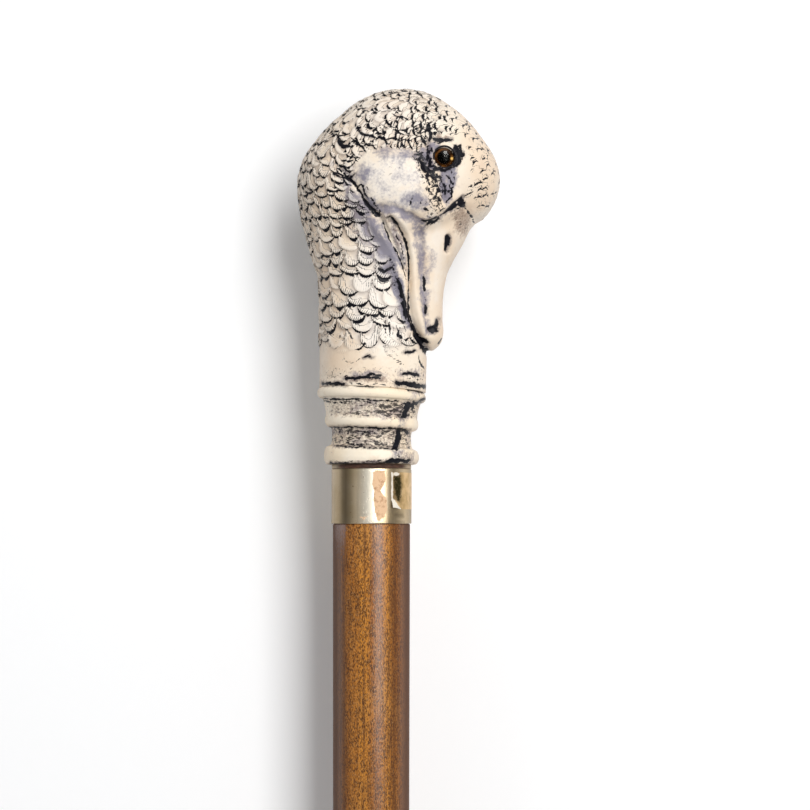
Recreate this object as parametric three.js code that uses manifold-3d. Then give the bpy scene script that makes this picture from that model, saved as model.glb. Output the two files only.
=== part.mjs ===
// Walking stick with a cast handle shaped as a duck's head, bill tucked against the neck.
// Millimetres. +Z runs up the shaft, the origin is the centre of the tread, the bill points along +X.
import * as THREE from 'three';
import Module from 'manifold-3d';

// Whole stick
const stickLength = 920;
const headSpan = 52.8;
const mouldingHeight = 20.5;
const mouldingTiltDegrees = 2.8;
const tiltRise = 4;

// Joint between handle and shaft
const seatThickness = 1.2;
const seatRadius = 10.3;
const seatBoreRadius = 4.6;
const collarHeight = 14.1;
const collarRadius = 10.4;
const collarWall = 0.8;
const collarEdge = 0.25;
const bondGap = 0.1;

// Screw
const threadPitch = 1.4;
const threadRadius = 4;
const threadDepth = 0.8;
const threadPlay = 0.22;
const studInHandle = 26;
const studInShaft = 18;
const insertRadius = 6;
const insertLength = 20;
const insertFlangeRadius = 7;
const insertFlangeThickness = 1.2;
const drillRest = 3;

// Label on the collar
const labelThickness = 0.18;
const labelLift = 0.02;
const labelRise = 3.7;
const labelHeight = 9.4;

// Wood
const shaftTopRadius = 10;
const shaftFootRadius = 7.75;
const shaftFootChamfer = 0.8;
const shoulderRound = 0.4;

// Ferrule
const ferruleHeight = 44;
const ferruleTreadRadius = 14.5;
const ferruleWaistRadius = 11.2;
const ferruleMouthRadius = 10.4;
const ferruleFloor = 8;
const ferruleFlare = 9;
const ferruleTreadEdge = 1.2;
const ferruleRibRadius = 0.9;
const ferruleRibStart = 15;
const ferruleRibStep = 5.5;
const treadGrooveDepth = 1.4;
const treadGrooveWidth = 1.6;
const treadLandWidth = 2.4;
const discThickness = 1.5;
const discRadius = 7.4;
const discBoreRadius = 2.5;
const fitGap = 0.08;

// Eye
const eyeRadius = 2.95;
const eyeDome = 1.5;
const eyeSeatDepth = 1.3;
const eyeSeatClearance = 3;
const irisThickness = 0.4;
const lensEdge = 0.45;
const eyeTurnDegrees = 9;
const eyeLiftDegrees = 2;

// Counts
const handleSegments = 68;
const seamColumn = 17;
const neckRows = 19;
const domeRows = 18;
const collarSegments = 72;
const turnedSegments = 40;
const threadSegments = 12;
const eyeSegments = 24;
const eyeRings = 4;
const pitSegments = 10;
const ribCount = 4;
const labelFirstSegment = 6;
const labelSegmentSpan = 17;

// Head outlines as [up, across] shares of the head span, from the shaft axis at the foot of the neck
const neckBackShares = [[-0.030, -0.257], [0.119, -0.257], [0.277, -0.257], [0.436, -0.257],
  [0.515, -0.260], [0.594, -0.281], [0.673, -0.305], [0.752, -0.323], [0.832, -0.339], [0.921, -0.335],
  [1.020, -0.290], [1.120, -0.200]];
const neckFrontShares = [[-0.030, 0.268], [0.119, 0.271], [0.277, 0.276], [0.436, 0.283],
  [0.594, 0.302], [0.752, 0.337], [0.921, 0.366], [1.120, 0.300]];
const neckHalfShares = [[-0.030, 0.260], [0.119, 0.260], [0.277, 0.260], [0.436, 0.262],
  [0.594, 0.275], [0.752, 0.292], [0.921, 0.300], [1.120, 0.240]];
const billFrontShares = [[0.163, 0.277], [0.178, 0.302], [0.198, 0.322], [0.228, 0.340], [0.277, 0.348],
  [0.396, 0.348], [0.475, 0.354], [0.554, 0.371], [0.634, 0.411], [0.713, 0.455], [0.792, 0.495],
  [0.896, 0.554], [0.940, 0.560]];
const billRootShares = [[0.156, 0.256], [0.178, 0.247], [0.241, 0.217], [0.296, 0.192], [0.380, 0.173],
  [0.461, 0.168], [0.536, 0.158], [0.620, 0.135], [0.707, 0.082], [0.780, 0.049], [0.838, 0.035]];
const billHalfShares = [[0.163, 0.015], [0.183, 0.079], [0.213, 0.124], [0.257, 0.163], [0.317, 0.196],
  [0.406, 0.215], [0.490, 0.228], [0.569, 0.242], [0.658, 0.268], [0.752, 0.300], [0.832, 0.324],
  [0.880, 0.330], [0.940, 0.290]];

// Side outline of the skull as [across, up] shares
const skullOutlineShares = [[-0.362, 0.990], [-0.340, 1.109], [-0.262, 1.225], [-0.153, 1.337],
  [-0.020, 1.428], [0.139, 1.465], [0.292, 1.440], [0.421, 1.366], [0.545, 1.232], [0.618, 1.109],
  [0.635, 1.000], [0.583, 0.871], [0.475, 0.782], [0.297, 0.685], [0.040, 0.662], [-0.208, 0.722],
  [-0.322, 0.861]];
const skullCentreShares = [0.130, 1.060];
const skullHalfShare = 0.385;
const skullPower = 2.2;
const billPower = 2.15;
const neckTopShare = 1.1;
const billTopShare = 0.94;
const billBuriedShare = 0.12;
const crownShare = 1.465;

// Cheek dome: centre across and up, centre depth, radii across, deep and up
const cheekCentreShares = [0.158, 0.975];
const cheekDepthShare = 0.234;
const cheekRadiusShares = [0.300, 0.178, 0.262];

// Softness of the joins between the masses
const neckBlendShare = 0.06;
const cheekBlendShare = 0.022;
const billBlendShare = 0.014;

// Carved and raised lines on the flanks as [across, up] shares, each with half width and height
const carvedLineShares = [
  { path: [[-0.146, 0.996], [-0.118, 0.948], [-0.075, 0.887], [-0.033, 0.836], [0.010, 0.791],
    [0.049, 0.776]], halfWidth: 0.026, height: -0.015 },
  { path: [[0.025, 0.829], [0.106, 0.836], [0.163, 0.798], [0.241, 0.770], [0.303, 0.783]],
    halfWidth: 0.026, height: -0.010 },
  { path: [[0.303, 0.783], [0.380, 0.831], [0.441, 0.888], [0.463, 0.848], [0.519, 0.809]],
    halfWidth: 0.024, height: -0.009 },
  { path: [[0.064, 0.780], [0.091, 0.707], [0.140, 0.620]], halfWidth: 0.020, height: 0.007 },
  { path: [[0.226, 0.719], [0.241, 0.591], [0.250, 0.507], [0.260, 0.340], [0.280, 0.252]],
    halfWidth: 0.030, height: -0.009 },
  { path: [[0.282, 1.118], [0.335, 1.153], [0.402, 1.146], [0.445, 1.106]],
    halfWidth: 0.036, height: 0.010 },
  { path: [[0.282, 1.060], [0.282, 1.031]], halfWidth: 0.040, height: -0.010 },
  { path: [[0.363, 0.945], [0.388, 0.894]], halfWidth: 0.050, height: -0.012 },
];
const flankStartShare = 0.12;
const flankFullShare = 0.35;

// Pits cut into each flank: the corner of the mouth and the nostril, each with half width and depth
const pitShares = [
  { path: [[0.074, 0.822], [0.101, 0.771], [0.149, 0.690], [0.174, 0.621], [0.182, 0.552], [0.185, 0.518]],
    halfWidth: 0.020, depth: 0.034 },
  { path: [[0.381, 0.742], [0.375, 0.712], [0.368, 0.660], [0.365, 0.626]], halfWidth: 0.014, depth: 0.022 },
];
const pitEndWidthShare = 0.75;

// Eye place on the flank
const eyeCentreShares = [0.352, 1.066];

// Levels of the head surface from the foot of the neck to just above the tip of the bill
const tipLevelShares = [0.000, 0.060, 0.110, 0.140, 0.160, 0.174, 0.190, 0.208, 0.232];
const evenFootShare = 0.18;

// Seam that one column of the surface follows on each flank as [up, across] shares: down the back of
// the cheek and along the edge of the bill to its tip
const seamShares = [[0.000, 0.040], [0.100, 0.165], [0.160, 0.222], [0.195, 0.230], [0.241, 0.217],
  [0.296, 0.192], [0.380, 0.174], [0.461, 0.168], [0.536, 0.158], [0.620, 0.135], [0.707, 0.082],
  [0.776, 0.049], [0.791, 0.010], [0.836, -0.033], [0.887, -0.075], [0.948, -0.118], [0.996, -0.146],
  [1.160, -0.110], [1.400, 0.060], [1.460, 0.120]];

// Spine that the handle surface is measured from: centre of each level across, and the dome centre
const spineAcrossShares = [[0.000, 0.000], [0.450, 0.010], [0.700, 0.040], [0.900, 0.120]];
const domeBaseShare = 0.900;
const searchReachShare = 0.9;
const searchStepShare = 0.02;

// Turned rings below the neck as [share of neck radius, share of moulding height] from the foot up
const neckRadiusShare = 0.2595;
const mouldingShares = [[0.805, 0.000], [0.868, 0.022], [0.900, 0.085], [0.890, 0.165], [0.842, 0.208],
  [0.766, 0.236], [0.748, 0.350], [0.766, 0.442], [0.856, 0.474], [0.888, 0.530], [0.868, 0.600],
  [0.916, 0.780], [0.940, 0.812], [1.006, 0.838], [1.032, 0.885], [1.026, 0.938], [1.004, 0.975]];
const tiltFadeShare = 0.14;

// Heights from the tread
const neckFootZ = stickLength - crownShare * headSpan;
const handleFootZ = neckFootZ - mouldingHeight;
const collarTopZ = handleFootZ - seatThickness;
const collarFootZ = collarTopZ - collarHeight;
const shaftFootZ = ferruleFloor + discThickness + fitGap;

const radians = (degrees) => degrees * Math.PI / 180;
const clampUnit = (value) => Math.min(Math.max(value, 0), 1);

function smoothStep(from, to, value) {
  const share = clampUnit((value - from) / (to - from));
  return share * share * (3 - 2 * share);
}

// Lower of two fields with the join rounded over the given width
function softLower(first, second, width) {
  const overlap = Math.max(width - Math.abs(first - second), 0) / width;
  return Math.min(first, second) - overlap * overlap * width / 4;
}

// Curve through [position, value] pairs that never overshoots them
function curveThrough(pairs) {
  const slopes = pairs.slice(1).map((pair, index) => (pair[1] - pairs[index][1]) / (pair[0] - pairs[index][0]));
  const tangents = pairs.map((pair, index) => {
    const before = slopes[Math.max(index - 1, 0)];
    const after = slopes[Math.min(index, slopes.length - 1)];
    return before * after > 0 ? 2 * before * after / (before + after) : 0;
  });
  return curveWith(pairs, tangents);
}

function curveWith(pairs, tangents) {
  return (position) => {
    const last = pairs.length - 1;
    if (position <= pairs[0][0]) return pairs[0][1];
    if (position >= pairs[last][0]) return pairs[last][1];
    let index = 0;
    while (position > pairs[index + 1][0]) index += 1;
    const length = pairs[index + 1][0] - pairs[index][0];
    const share = (position - pairs[index][0]) / length;
    const square = share * share;
    const cube = square * share;
    return pairs[index][1] * (2 * cube - 3 * square + 1)
      + tangents[index] * length * (cube - 2 * square + share)
      + pairs[index + 1][1] * (3 * square - 2 * cube)
      + tangents[index + 1] * length * (cube - square);
  };
}

// Distance of a closed outline from its centre, by angle
function reachByAngle(outline, centre) {
  const turn = 2 * Math.PI;
  const polar = outline.map(([across, up]) => [
    Math.atan2(up - centre[1], across - centre[0]),
    Math.hypot(across - centre[0], up - centre[1]),
  ]).sort((first, second) => first[0] - second[0]);
  const margin = 3;
  const before = polar.slice(-margin).map(([angle, reach]) => [angle - turn, reach]);
  const after = polar.slice(0, margin).map(([angle, reach]) => [angle + turn, reach]);
  const pairs = [...before, ...polar, ...after];
  const tangents = pairs.map((pair, index) => {
    const [fromAngle, fromReach] = pairs[Math.max(index - 1, 0)];
    const [toAngle, toReach] = pairs[Math.min(index + 1, pairs.length - 1)];
    return (toReach - fromReach) / (toAngle - fromAngle);
  });
  return curveWith(pairs, tangents);
}

const neckBack = curveThrough(neckBackShares);
const neckFront = curveThrough(neckFrontShares);
const neckHalf = curveThrough(neckHalfShares);
const billFront = curveThrough(billFrontShares);
const billRoot = curveThrough(billRootShares);
const billHalf = curveThrough(billHalfShares);
const skullReach = reachByAngle(skullOutlineShares, skullCentreShares);
const spineAcross = curveThrough(spineAcrossShares);
const seamAcross = curveThrough(seamShares);

function neckField(across, deep, up) {
  const reach = (neckFront(up) - neckBack(up)) / 2;
  const half = neckHalf(up);
  const middle = (neckFront(up) + neckBack(up)) / 2;
  const around = (Math.hypot((across - middle) / reach, deep / half) - 1) * Math.min(reach, half);
  return Math.max(around, up - neckTopShare);
}

function skullField(across, deep, up) {
  const fromCentreAcross = across - skullCentreShares[0];
  const fromCentreUp = up - skullCentreShares[1];
  const reach = skullReach(Math.atan2(fromCentreUp, fromCentreAcross));
  const side = Math.hypot(fromCentreAcross, fromCentreUp) / reach;
  const size = Math.pow(Math.pow(side, skullPower) + Math.pow(Math.abs(deep) / skullHalfShare, skullPower),
    1 / skullPower);
  return (size - 1) * skullHalfShare;
}

function cheekField(across, deep, up) {
  const size = Math.hypot((across - cheekCentreShares[0]) / cheekRadiusShares[0],
    (Math.abs(deep) - cheekDepthShare) / cheekRadiusShares[1],
    (up - cheekCentreShares[1]) / cheekRadiusShares[2]);
  return (size - 1) * cheekRadiusShares[1];
}

function billField(across, deep, up) {
  const root = billRoot(up);
  const reach = across > root ? billFront(up) - root : billBuriedShare;
  const half = billHalf(up);
  const size = Math.pow(Math.pow(Math.abs(across - root) / reach, billPower)
    + Math.pow(Math.abs(deep) / half, billPower), 1 / billPower);
  const around = (size - 1) * Math.min(reach, half);
  return Math.max(around, up - billTopShare, billFrontShares[0][0] - up);
}

function headField(across, deep, up) {
  const skull = softLower(skullField(across, deep, up), cheekField(across, deep, up), cheekBlendShare);
  const body = softLower(neckField(across, deep, up), skull, neckBlendShare);
  return softLower(body, billField(across, deep, up), billBlendShare);
}

// Outermost point of the head along a ray, all in shares
function surfaceAlong(start, direction) {
  const fieldAt = (distance) => headField(start[0] + direction[0] * distance,
    start[1] + direction[1] * distance, start[2] + direction[2] * distance);
  let outside = searchReachShare;
  while (outside > 0 && fieldAt(outside - searchStepShare) > 0) outside -= searchStepShare;
  let inside = outside - searchStepShare;
  for (let round = 0; round < 24; round += 1) {
    const middle = (inside + outside) / 2;
    if (fieldAt(middle) > 0) outside = middle;
    else inside = middle;
  }
  return start.map((value, axis) => value + direction[axis] * inside);
}

function outwardAt(point) {
  const probe = 0.004;
  const slope = point.map((value, axis) => {
    const ahead = [...point];
    const behind = [...point];
    ahead[axis] += probe;
    behind[axis] -= probe;
    return headField(...ahead) - headField(...behind);
  });
  const length = Math.hypot(...slope);
  return slope.map((value) => value / length);
}

function distanceToPath(path, across, up) {
  let nearest = Infinity;
  for (let index = 0; index < path.length - 1; index += 1) {
    const [startAcross, startUp] = path[index];
    const runAcross = path[index + 1][0] - startAcross;
    const runUp = path[index + 1][1] - startUp;
    const along = clampUnit(((across - startAcross) * runAcross + (up - startUp) * runUp)
      / (runAcross * runAcross + runUp * runUp));
    nearest = Math.min(nearest,
      Math.hypot(across - startAcross - runAcross * along, up - startUp - runUp * along));
  }
  return nearest;
}

// Height of the carved and raised lines at a point of the flank
function carvingAt(point, outward) {
  const facing = smoothStep(flankStartShare, flankFullShare, Math.abs(outward[1]));
  return facing * carvedLineShares.reduce((sum, line) => {
    const away = distanceToPath(line.path, point[0], point[2]) / line.halfWidth;
    return sum + line.height * Math.exp(-away * away);
  }, 0);
}

function carvedPoint(start, direction) {
  const point = surfaceAlong(start, direction);
  const outward = outwardAt(point);
  const height = carvingAt(point, outward);
  return point.map((value, axis) => value + outward[axis] * height);
}

// The rings sit slightly out of square with the shaft, the foot stays square
function tiltedZ(x, z) {
  const rise = smoothStep(handleFootZ, handleFootZ + tiltRise, z);
  const fade = 1 - smoothStep(neckFootZ, neckFootZ + tiltFadeShare * headSpan, z);
  return z - Math.tan(radians(mouldingTiltDegrees)) * x * rise * fade;
}

// Closed body from rings of points, capped by one point at each end
function closedRows(startPoint, rows, endPoint) {
  const count = rows[0].length;
  const positions = [...startPoint, ...rows.flat(2), ...endPoint];
  const index = [];
  const at = (row, column) => 1 + row * count + column % count;
  const endIndex = 1 + rows.length * count;
  for (let column = 0; column < count; column += 1) {
    index.push(0, at(0, column + 1), at(0, column));
    index.push(endIndex, at(rows.length - 1, column), at(rows.length - 1, column + 1));
  }
  for (let row = 0; row < rows.length - 1; row += 1) {
    for (let column = 0; column < count; column += 1) {
      index.push(...flatterSplit(positions, at(row, column), at(row, column + 1),
        at(row + 1, column + 1), at(row + 1, column)));
    }
  }
  return facingOut(positions, index);
}

// Two triangles over four corners, split along the diagonal that folds less
function flatterSplit(positions, first, second, third, fourth) {
  const corner = (slot) => new THREE.Vector3().fromArray(positions, slot * 3);
  const normal = (a, b, c) => corner(b).sub(corner(a)).cross(corner(c).sub(corner(a))).normalize();
  const plain = normal(first, second, third).dot(normal(first, third, fourth));
  const crossed = normal(first, second, fourth).dot(normal(second, third, fourth));
  return plain >= crossed
    ? [first, second, third, first, third, fourth]
    : [first, second, fourth, second, third, fourth];
}

function facingOut(positions, index) {
  let volume = 0;
  const corner = (slot) => new THREE.Vector3().fromArray(positions, index[slot] * 3);
  for (let slot = 0; slot < index.length; slot += 3) {
    volume += corner(slot).dot(corner(slot + 1).cross(corner(slot + 2)));
  }
  if (volume < 0) {
    for (let slot = 0; slot < index.length; slot += 3) {
      [index[slot + 1], index[slot + 2]] = [index[slot + 2], index[slot + 1]];
    }
  }
  const geometry = new THREE.BufferGeometry();
  geometry.setAttribute('position', new THREE.Float32BufferAttribute(positions, 3));
  geometry.setIndex(index);
  return geometry;
}

function ringOf(radius, z, segments) {
  return Array.from({ length: segments }, (unused, column) => {
    const angle = 2 * Math.PI * column / segments;
    return [radius * Math.cos(angle), radius * Math.sin(angle), z];
  });
}

// Body turned about the Z axis from a [radius, z] profile that starts and ends on the axis
function turned(profile, segments) {
  const rows = profile.slice(1, -1).map(([radius, z]) => ringOf(radius, z, segments));
  return closedRows([0, 0, profile[0][1]], rows, [0, 0, profile[profile.length - 1][1]]);
}

// Ring-shaped body turned about the Z axis from a closed [radius, z] profile
function turnedRing(profile, segments) {
  const positions = profile.flatMap(([radius, z]) => ringOf(radius, z, segments)).flat();
  const index = [];
  const at = (row, column) => (row % profile.length) * segments + column % segments;
  for (let row = 0; row < profile.length; row += 1) {
    for (let column = 0; column < segments; column += 1) {
      index.push(at(row, column), at(row, column + 1), at(row + 1, column + 1));
      index.push(at(row, column), at(row + 1, column + 1), at(row + 1, column));
    }
  }
  return facingOut(positions, index);
}

const wasm = await Module();
wasm.setup();

function toSolid(geometry) {
  return new wasm.Manifold(new wasm.Mesh({
    numProp: 3,
    vertProperties: new Float32Array(geometry.attributes.position.array),
    triVerts: new Uint32Array(geometry.index.array),
  }));
}

function toGeometry(solid) {
  const mesh = solid.getMesh();
  return facingOut(Array.from(mesh.vertProperties), Array.from(mesh.triVerts));
}

// Helical ridge about the Z axis in step with the collar top, longer than asked for and cut afterwards
function helixBody(crestRadius, rootRadius, fromZ, toZ) {
  const lowestZ = collarTopZ - threadPitch * Math.ceil((collarTopZ - fromZ) / threadPitch + 2);
  const turns = Math.ceil((toZ + threadPitch * 2 - lowestZ) / threadPitch);
  const rowCount = turns * 2;
  const pointAt = (row, column) => {
    const angle = 2 * Math.PI * column / threadSegments;
    const radius = row % 2 === 0 ? crestRadius : rootRadius;
    const z = lowestZ + threadPitch * (row / 2 + column / threadSegments);
    return [radius * Math.cos(angle), radius * Math.sin(angle), z];
  };
  const positions = [];
  for (let row = 0; row < rowCount; row += 1) {
    for (let column = 0; column < threadSegments; column += 1) positions.push(...pointAt(row, column));
  }
  const tail = positions.length / 3;
  positions.push(...pointAt(rowCount, 0), ...pointAt(rowCount + 1, 0));
  const footIndex = tail + 2;
  const headIndex = tail + 3;
  positions.push(0, 0, lowestZ + threadPitch / 2);
  positions.push(0, 0, lowestZ + threadPitch * (turns + 1 / 2));
  const at = (row, column) => {
    const wholeRow = column === threadSegments ? row + 2 : row;
    const ownColumn = column % threadSegments;
    return wholeRow >= rowCount ? tail + wholeRow - rowCount : wholeRow * threadSegments + ownColumn;
  };
  const index = [];
  for (let row = 0; row < rowCount - 1; row += 1) {
    for (let column = 0; column < threadSegments; column += 1) {
      index.push(at(row, column), at(row, column + 1), at(row + 1, column + 1));
      index.push(at(row, column), at(row + 1, column + 1), at(row + 1, column));
    }
  }
  for (let column = 0; column < threadSegments; column += 1) {
    index.push(footIndex, at(0, column + 1), at(0, column));
    index.push(headIndex, at(rowCount - 1, column), at(rowCount - 1, column + 1));
  }
  index.push(footIndex, at(1, 0), at(2, 0));
  index.push(footIndex, at(0, 0), at(1, 0));
  index.push(headIndex, at(rowCount, 0), at(rowCount - 1, 0));
  index.push(headIndex, at(rowCount + 1, 0), at(rowCount, 0));
  return toSolid(facingOut(positions, index));
}

// Eye frame: X across, Y up, Z out of the head
function eyePlace(side) {
  const start = [eyeCentreShares[0], 0, eyeCentreShares[1]];
  const [across, deep, up] = surfaceAlong(start, [0, side, 0]);
  const outward = new THREE.Vector3(Math.sin(radians(eyeTurnDegrees)), side * Math.cos(radians(eyeTurnDegrees)),
    Math.sin(radians(eyeLiftDegrees))).normalize();
  const place = new THREE.Matrix4().makeRotationFromQuaternion(
    new THREE.Quaternion().setFromUnitVectors(new THREE.Vector3(0, 0, 1), outward));
  const centre = new THREE.Vector3(across * headSpan, deep * headSpan, up * headSpan + neckFootZ);
  return place.setPosition(centre.addScaledVector(outward, -eyeSeatDepth));
}

// Angle at which a level's surface meets the seam, with rays given by angle
function seamAngle(start, directionAt) {
  let front = 0;
  let back = Math.PI;
  for (let round = 0; round < 24; round += 1) {
    const middle = (front + back) / 2;
    const [across, , up] = surfaceAlong(start, directionAt(middle));
    if (across > seamAcross(up)) front = middle;
    else back = middle;
  }
  return (front + back) / 2;
}

// One level of the head surface, its columns even at the foot and crowded above so that one lies on the seam
function carvedRow(start, lift) {
  const directionAt = (angle) => [Math.cos(angle) * Math.cos(lift), Math.sin(angle) * Math.cos(lift),
    Math.sin(lift)];
  const seam = seamAngle(start, directionAt);
  const half = handleSegments / 2;
  return Array.from({ length: handleSegments }, (unused, column) => {
    const turn = column <= half ? column : handleSegments - column;
    const evenAngle = Math.PI * turn / half;
    const seamedAngle = turn <= seamColumn
      ? seam * turn / seamColumn
      : seam + (Math.PI - seam) * (turn - seamColumn) / (half - seamColumn);
    const angle = evenAngle + (seamedAngle - evenAngle) * clampUnit(start[2] / evenFootShare);
    const point = carvedPoint(start, directionAt(angle));
    return column <= half ? point : [point[0], -point[1], point[2]];
  });
}

// Body that cuts a pit into a flank: rings around a path on the surface, pointed at both ends
function pitSolid(pit, side) {
  const last = pit.path.length - 1;
  const onFlank = pit.path.map(([across, up]) => surfaceAlong([across, 0, up], [0, side, 0]));
  const place = ([across, deep, up]) => [across * headSpan, deep * headSpan,
    tiltedZ(across * headSpan, up * headSpan + neckFootZ)];
  const rows = onFlank.slice(1, last).map(([across, deep, up], index) => {
    const [nextAcross, , nextUp] = onFlank[index + 2];
    const [pastAcross, , pastUp] = onFlank[index];
    const length = Math.hypot(nextAcross - pastAcross, nextUp - pastUp);
    const width = pit.halfWidth * (index > 0 && index < last - 2 ? 1 : pitEndWidthShare);
    return Array.from({ length: pitSegments }, (unused, column) => {
      const angle = 2 * Math.PI * column / pitSegments;
      const wide = width * Math.cos(angle);
      return place([across - wide * (nextUp - pastUp) / length, deep + side * pit.depth * Math.sin(angle),
        up + wide * (nextAcross - pastAcross) / length]);
    });
  });
  return toSolid(closedRows(place(onFlank[0]), rows, place(onFlank[last])));
}

function handleGeometry() {
  const boreRadius = threadRadius + bondGap;
  const boreTopZ = handleFootZ + studInHandle + bondGap;
  const ring = (radius, z) => ringOf(radius, z, handleSegments);
  const neckRadius = neckRadiusShare * headSpan;
  const turnedRows = mouldingShares.map(([radiusShare, heightShare]) => (
    ring(radiusShare * neckRadius, handleFootZ + heightShare * mouldingHeight)));
  const tipTop = tipLevelShares[tipLevelShares.length - 1];
  const neckLevels = Array.from({ length: neckRows }, (unused, row) => (
    tipTop + (domeBaseShare - tipTop) * (row + 1) / neckRows));
  const domeLifts = Array.from({ length: domeRows - 1 }, (unused, row) => Math.PI / 2 * (row + 1) / domeRows);
  const domeStart = [spineAcross(domeBaseShare), 0, domeBaseShare];
  const carvedRows = [
    ...[...tipLevelShares, ...neckLevels].map((up) => carvedRow([spineAcross(up), 0, up], 0)),
    ...domeLifts.map((lift) => carvedRow(domeStart, lift)),
  ].map((row) => row.map(([across, deep, up]) => [across * headSpan, deep * headSpan, up * headSpan + neckFootZ]));
  const outside = [...turnedRows, ...carvedRows].map((row) => row.map(([x, y, z]) => [x, y, tiltedZ(x, z)]));
  const crown = surfaceAlong(domeStart, [0, 0, 1]);
  const crownPoint = [crown[0] * headSpan, 0, crown[2] * headSpan + neckFootZ];
  const bore = [ring(boreRadius, boreTopZ), ring(boreRadius, handleFootZ)];
  let cast = toSolid(closedRows([0, 0, boreTopZ], [...bore, ...outside], crownPoint));
  const seatReach = eyeSeatDepth + eyeSeatClearance;
  [-1, 1].forEach((side) => {
    const seat = turned([[0, 0], [eyeRadius + bondGap, 0], [eyeRadius + bondGap, seatReach], [0, seatReach]],
      eyeSegments);
    cast = cast.subtract(toSolid(seat.applyMatrix4(eyePlace(side))));
    pitShares.forEach((pit) => {
      cast = cast.subtract(pitSolid(pit, side));
    });
  });
  return toGeometry(cast);
}

function irisGeometry(side) {
  const radius = eyeRadius - bondGap;
  const profile = [[0, bondGap], [radius, bondGap], [radius, bondGap + irisThickness], [0, bondGap + irisThickness]];
  return turned(profile, eyeSegments).applyMatrix4(eyePlace(side));
}

function lensGeometry(side) {
  const backZ = bondGap + irisThickness + bondGap / 2;
  const domeFootZ = backZ + lensEdge;
  const profile = [[0, backZ], [eyeRadius, backZ]];
  for (let ring = 0; ring < eyeRings; ring += 1) {
    const angle = Math.PI / 2 * ring / eyeRings;
    profile.push([eyeRadius * Math.cos(angle), domeFootZ + eyeDome * Math.sin(angle)]);
  }
  profile.push([0, domeFootZ + eyeDome]);
  return turned(profile, eyeSegments).applyMatrix4(eyePlace(side));
}

function studGeometry() {
  const fromZ = collarTopZ - studInShaft;
  const toZ = handleFootZ + studInHandle;
  const blank = turned([[0, fromZ], [threadRadius - threadDepth, fromZ],
    [threadRadius + threadDepth, fromZ + threadDepth * 2], [threadRadius + threadDepth, toZ], [0, toZ]],
  threadSegments);
  const ridge = helixBody(threadRadius, threadRadius - threadDepth, fromZ, toZ);
  return toGeometry(toSolid(blank).intersect(ridge));
}

function insertGeometry() {
  const topZ = collarTopZ;
  const footZ = topZ - insertLength;
  const blank = turned([[0, footZ], [insertRadius, footZ], [insertRadius, topZ - insertFlangeThickness],
    [insertFlangeRadius, topZ - insertFlangeThickness], [insertFlangeRadius, topZ], [0, topZ]], turnedSegments);
  const thread = helixBody(threadRadius + threadPlay, threadRadius - threadDepth + threadPlay,
    footZ - threadPitch, topZ + threadPitch);
  return toGeometry(toSolid(blank).subtract(thread));
}

function collarGeometry() {
  return turnedRing([[collarRadius - collarWall, collarFootZ], [collarRadius - collarEdge, collarFootZ],
    [collarRadius, collarFootZ + collarEdge], [collarRadius, collarTopZ - collarEdge],
    [collarRadius - collarEdge, collarTopZ], [collarRadius - collarWall, collarTopZ]], collarSegments);
}

// The label follows whole facets of the collar, from the front round to the right
function labelGeometry() {
  const innerRadius = collarRadius + labelLift;
  const outerRadius = innerRadius + labelThickness;
  const footZ = collarFootZ + labelRise;
  const topZ = footZ + labelHeight;
  const frontAngle = -Math.PI / 2;
  const positions = [];
  for (let column = 0; column <= labelSegmentSpan; column += 1) {
    const angle = frontAngle + 2 * Math.PI * (labelFirstSegment + column) / collarSegments;
    [[innerRadius, footZ], [outerRadius, footZ], [outerRadius, topZ], [innerRadius, topZ]].forEach(
      ([radius, z]) => positions.push(radius * Math.cos(angle), radius * Math.sin(angle), z));
  }
  const index = [0, 1, 2, 0, 2, 3];
  for (let column = 0; column < labelSegmentSpan; column += 1) {
    const here = column * 4;
    for (let edge = 0; edge < 4; edge += 1) {
      const next = (edge + 1) % 4;
      index.push(here + edge, here + 4 + edge, here + 4 + next, here + edge, here + 4 + next, here + next);
    }
  }
  const last = labelSegmentSpan * 4;
  index.push(last, last + 2, last + 1, last, last + 3, last + 2);
  return facingOut(positions, index);
}

function seatGeometry() {
  return turnedRing([[seatBoreRadius, collarTopZ], [seatRadius, collarTopZ], [seatRadius, handleFootZ],
    [seatBoreRadius, handleFootZ]], turnedSegments);
}

function shaftGeometry() {
  const tenonRadius = collarRadius - collarWall - fitGap;
  const drillRadius = insertRadius + bondGap;
  const flangeSeatRadius = insertFlangeRadius + bondGap;
  const drillFootZ = collarTopZ - insertLength - drillRest;
  const flangeSeatZ = collarTopZ - insertFlangeThickness - bondGap;
  return turned([[0, shaftFootZ], [shaftFootRadius - shaftFootChamfer, shaftFootZ],
    [shaftFootRadius, shaftFootZ + shaftFootChamfer], [shaftTopRadius, collarFootZ - shoulderRound],
    [shaftTopRadius - shoulderRound, collarFootZ], [tenonRadius, collarFootZ], [tenonRadius, collarTopZ],
    [flangeSeatRadius, collarTopZ], [flangeSeatRadius, flangeSeatZ], [drillRadius, flangeSeatZ],
    [drillRadius, drillFootZ], [0, drillFootZ]], turnedSegments);
}

function shaftRadiusAt(z) {
  const share = (z - shaftFootZ) / (collarFootZ - shaftFootZ);
  return shaftFootRadius + (shaftTopRadius - shaftFootRadius) * share;
}

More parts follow.
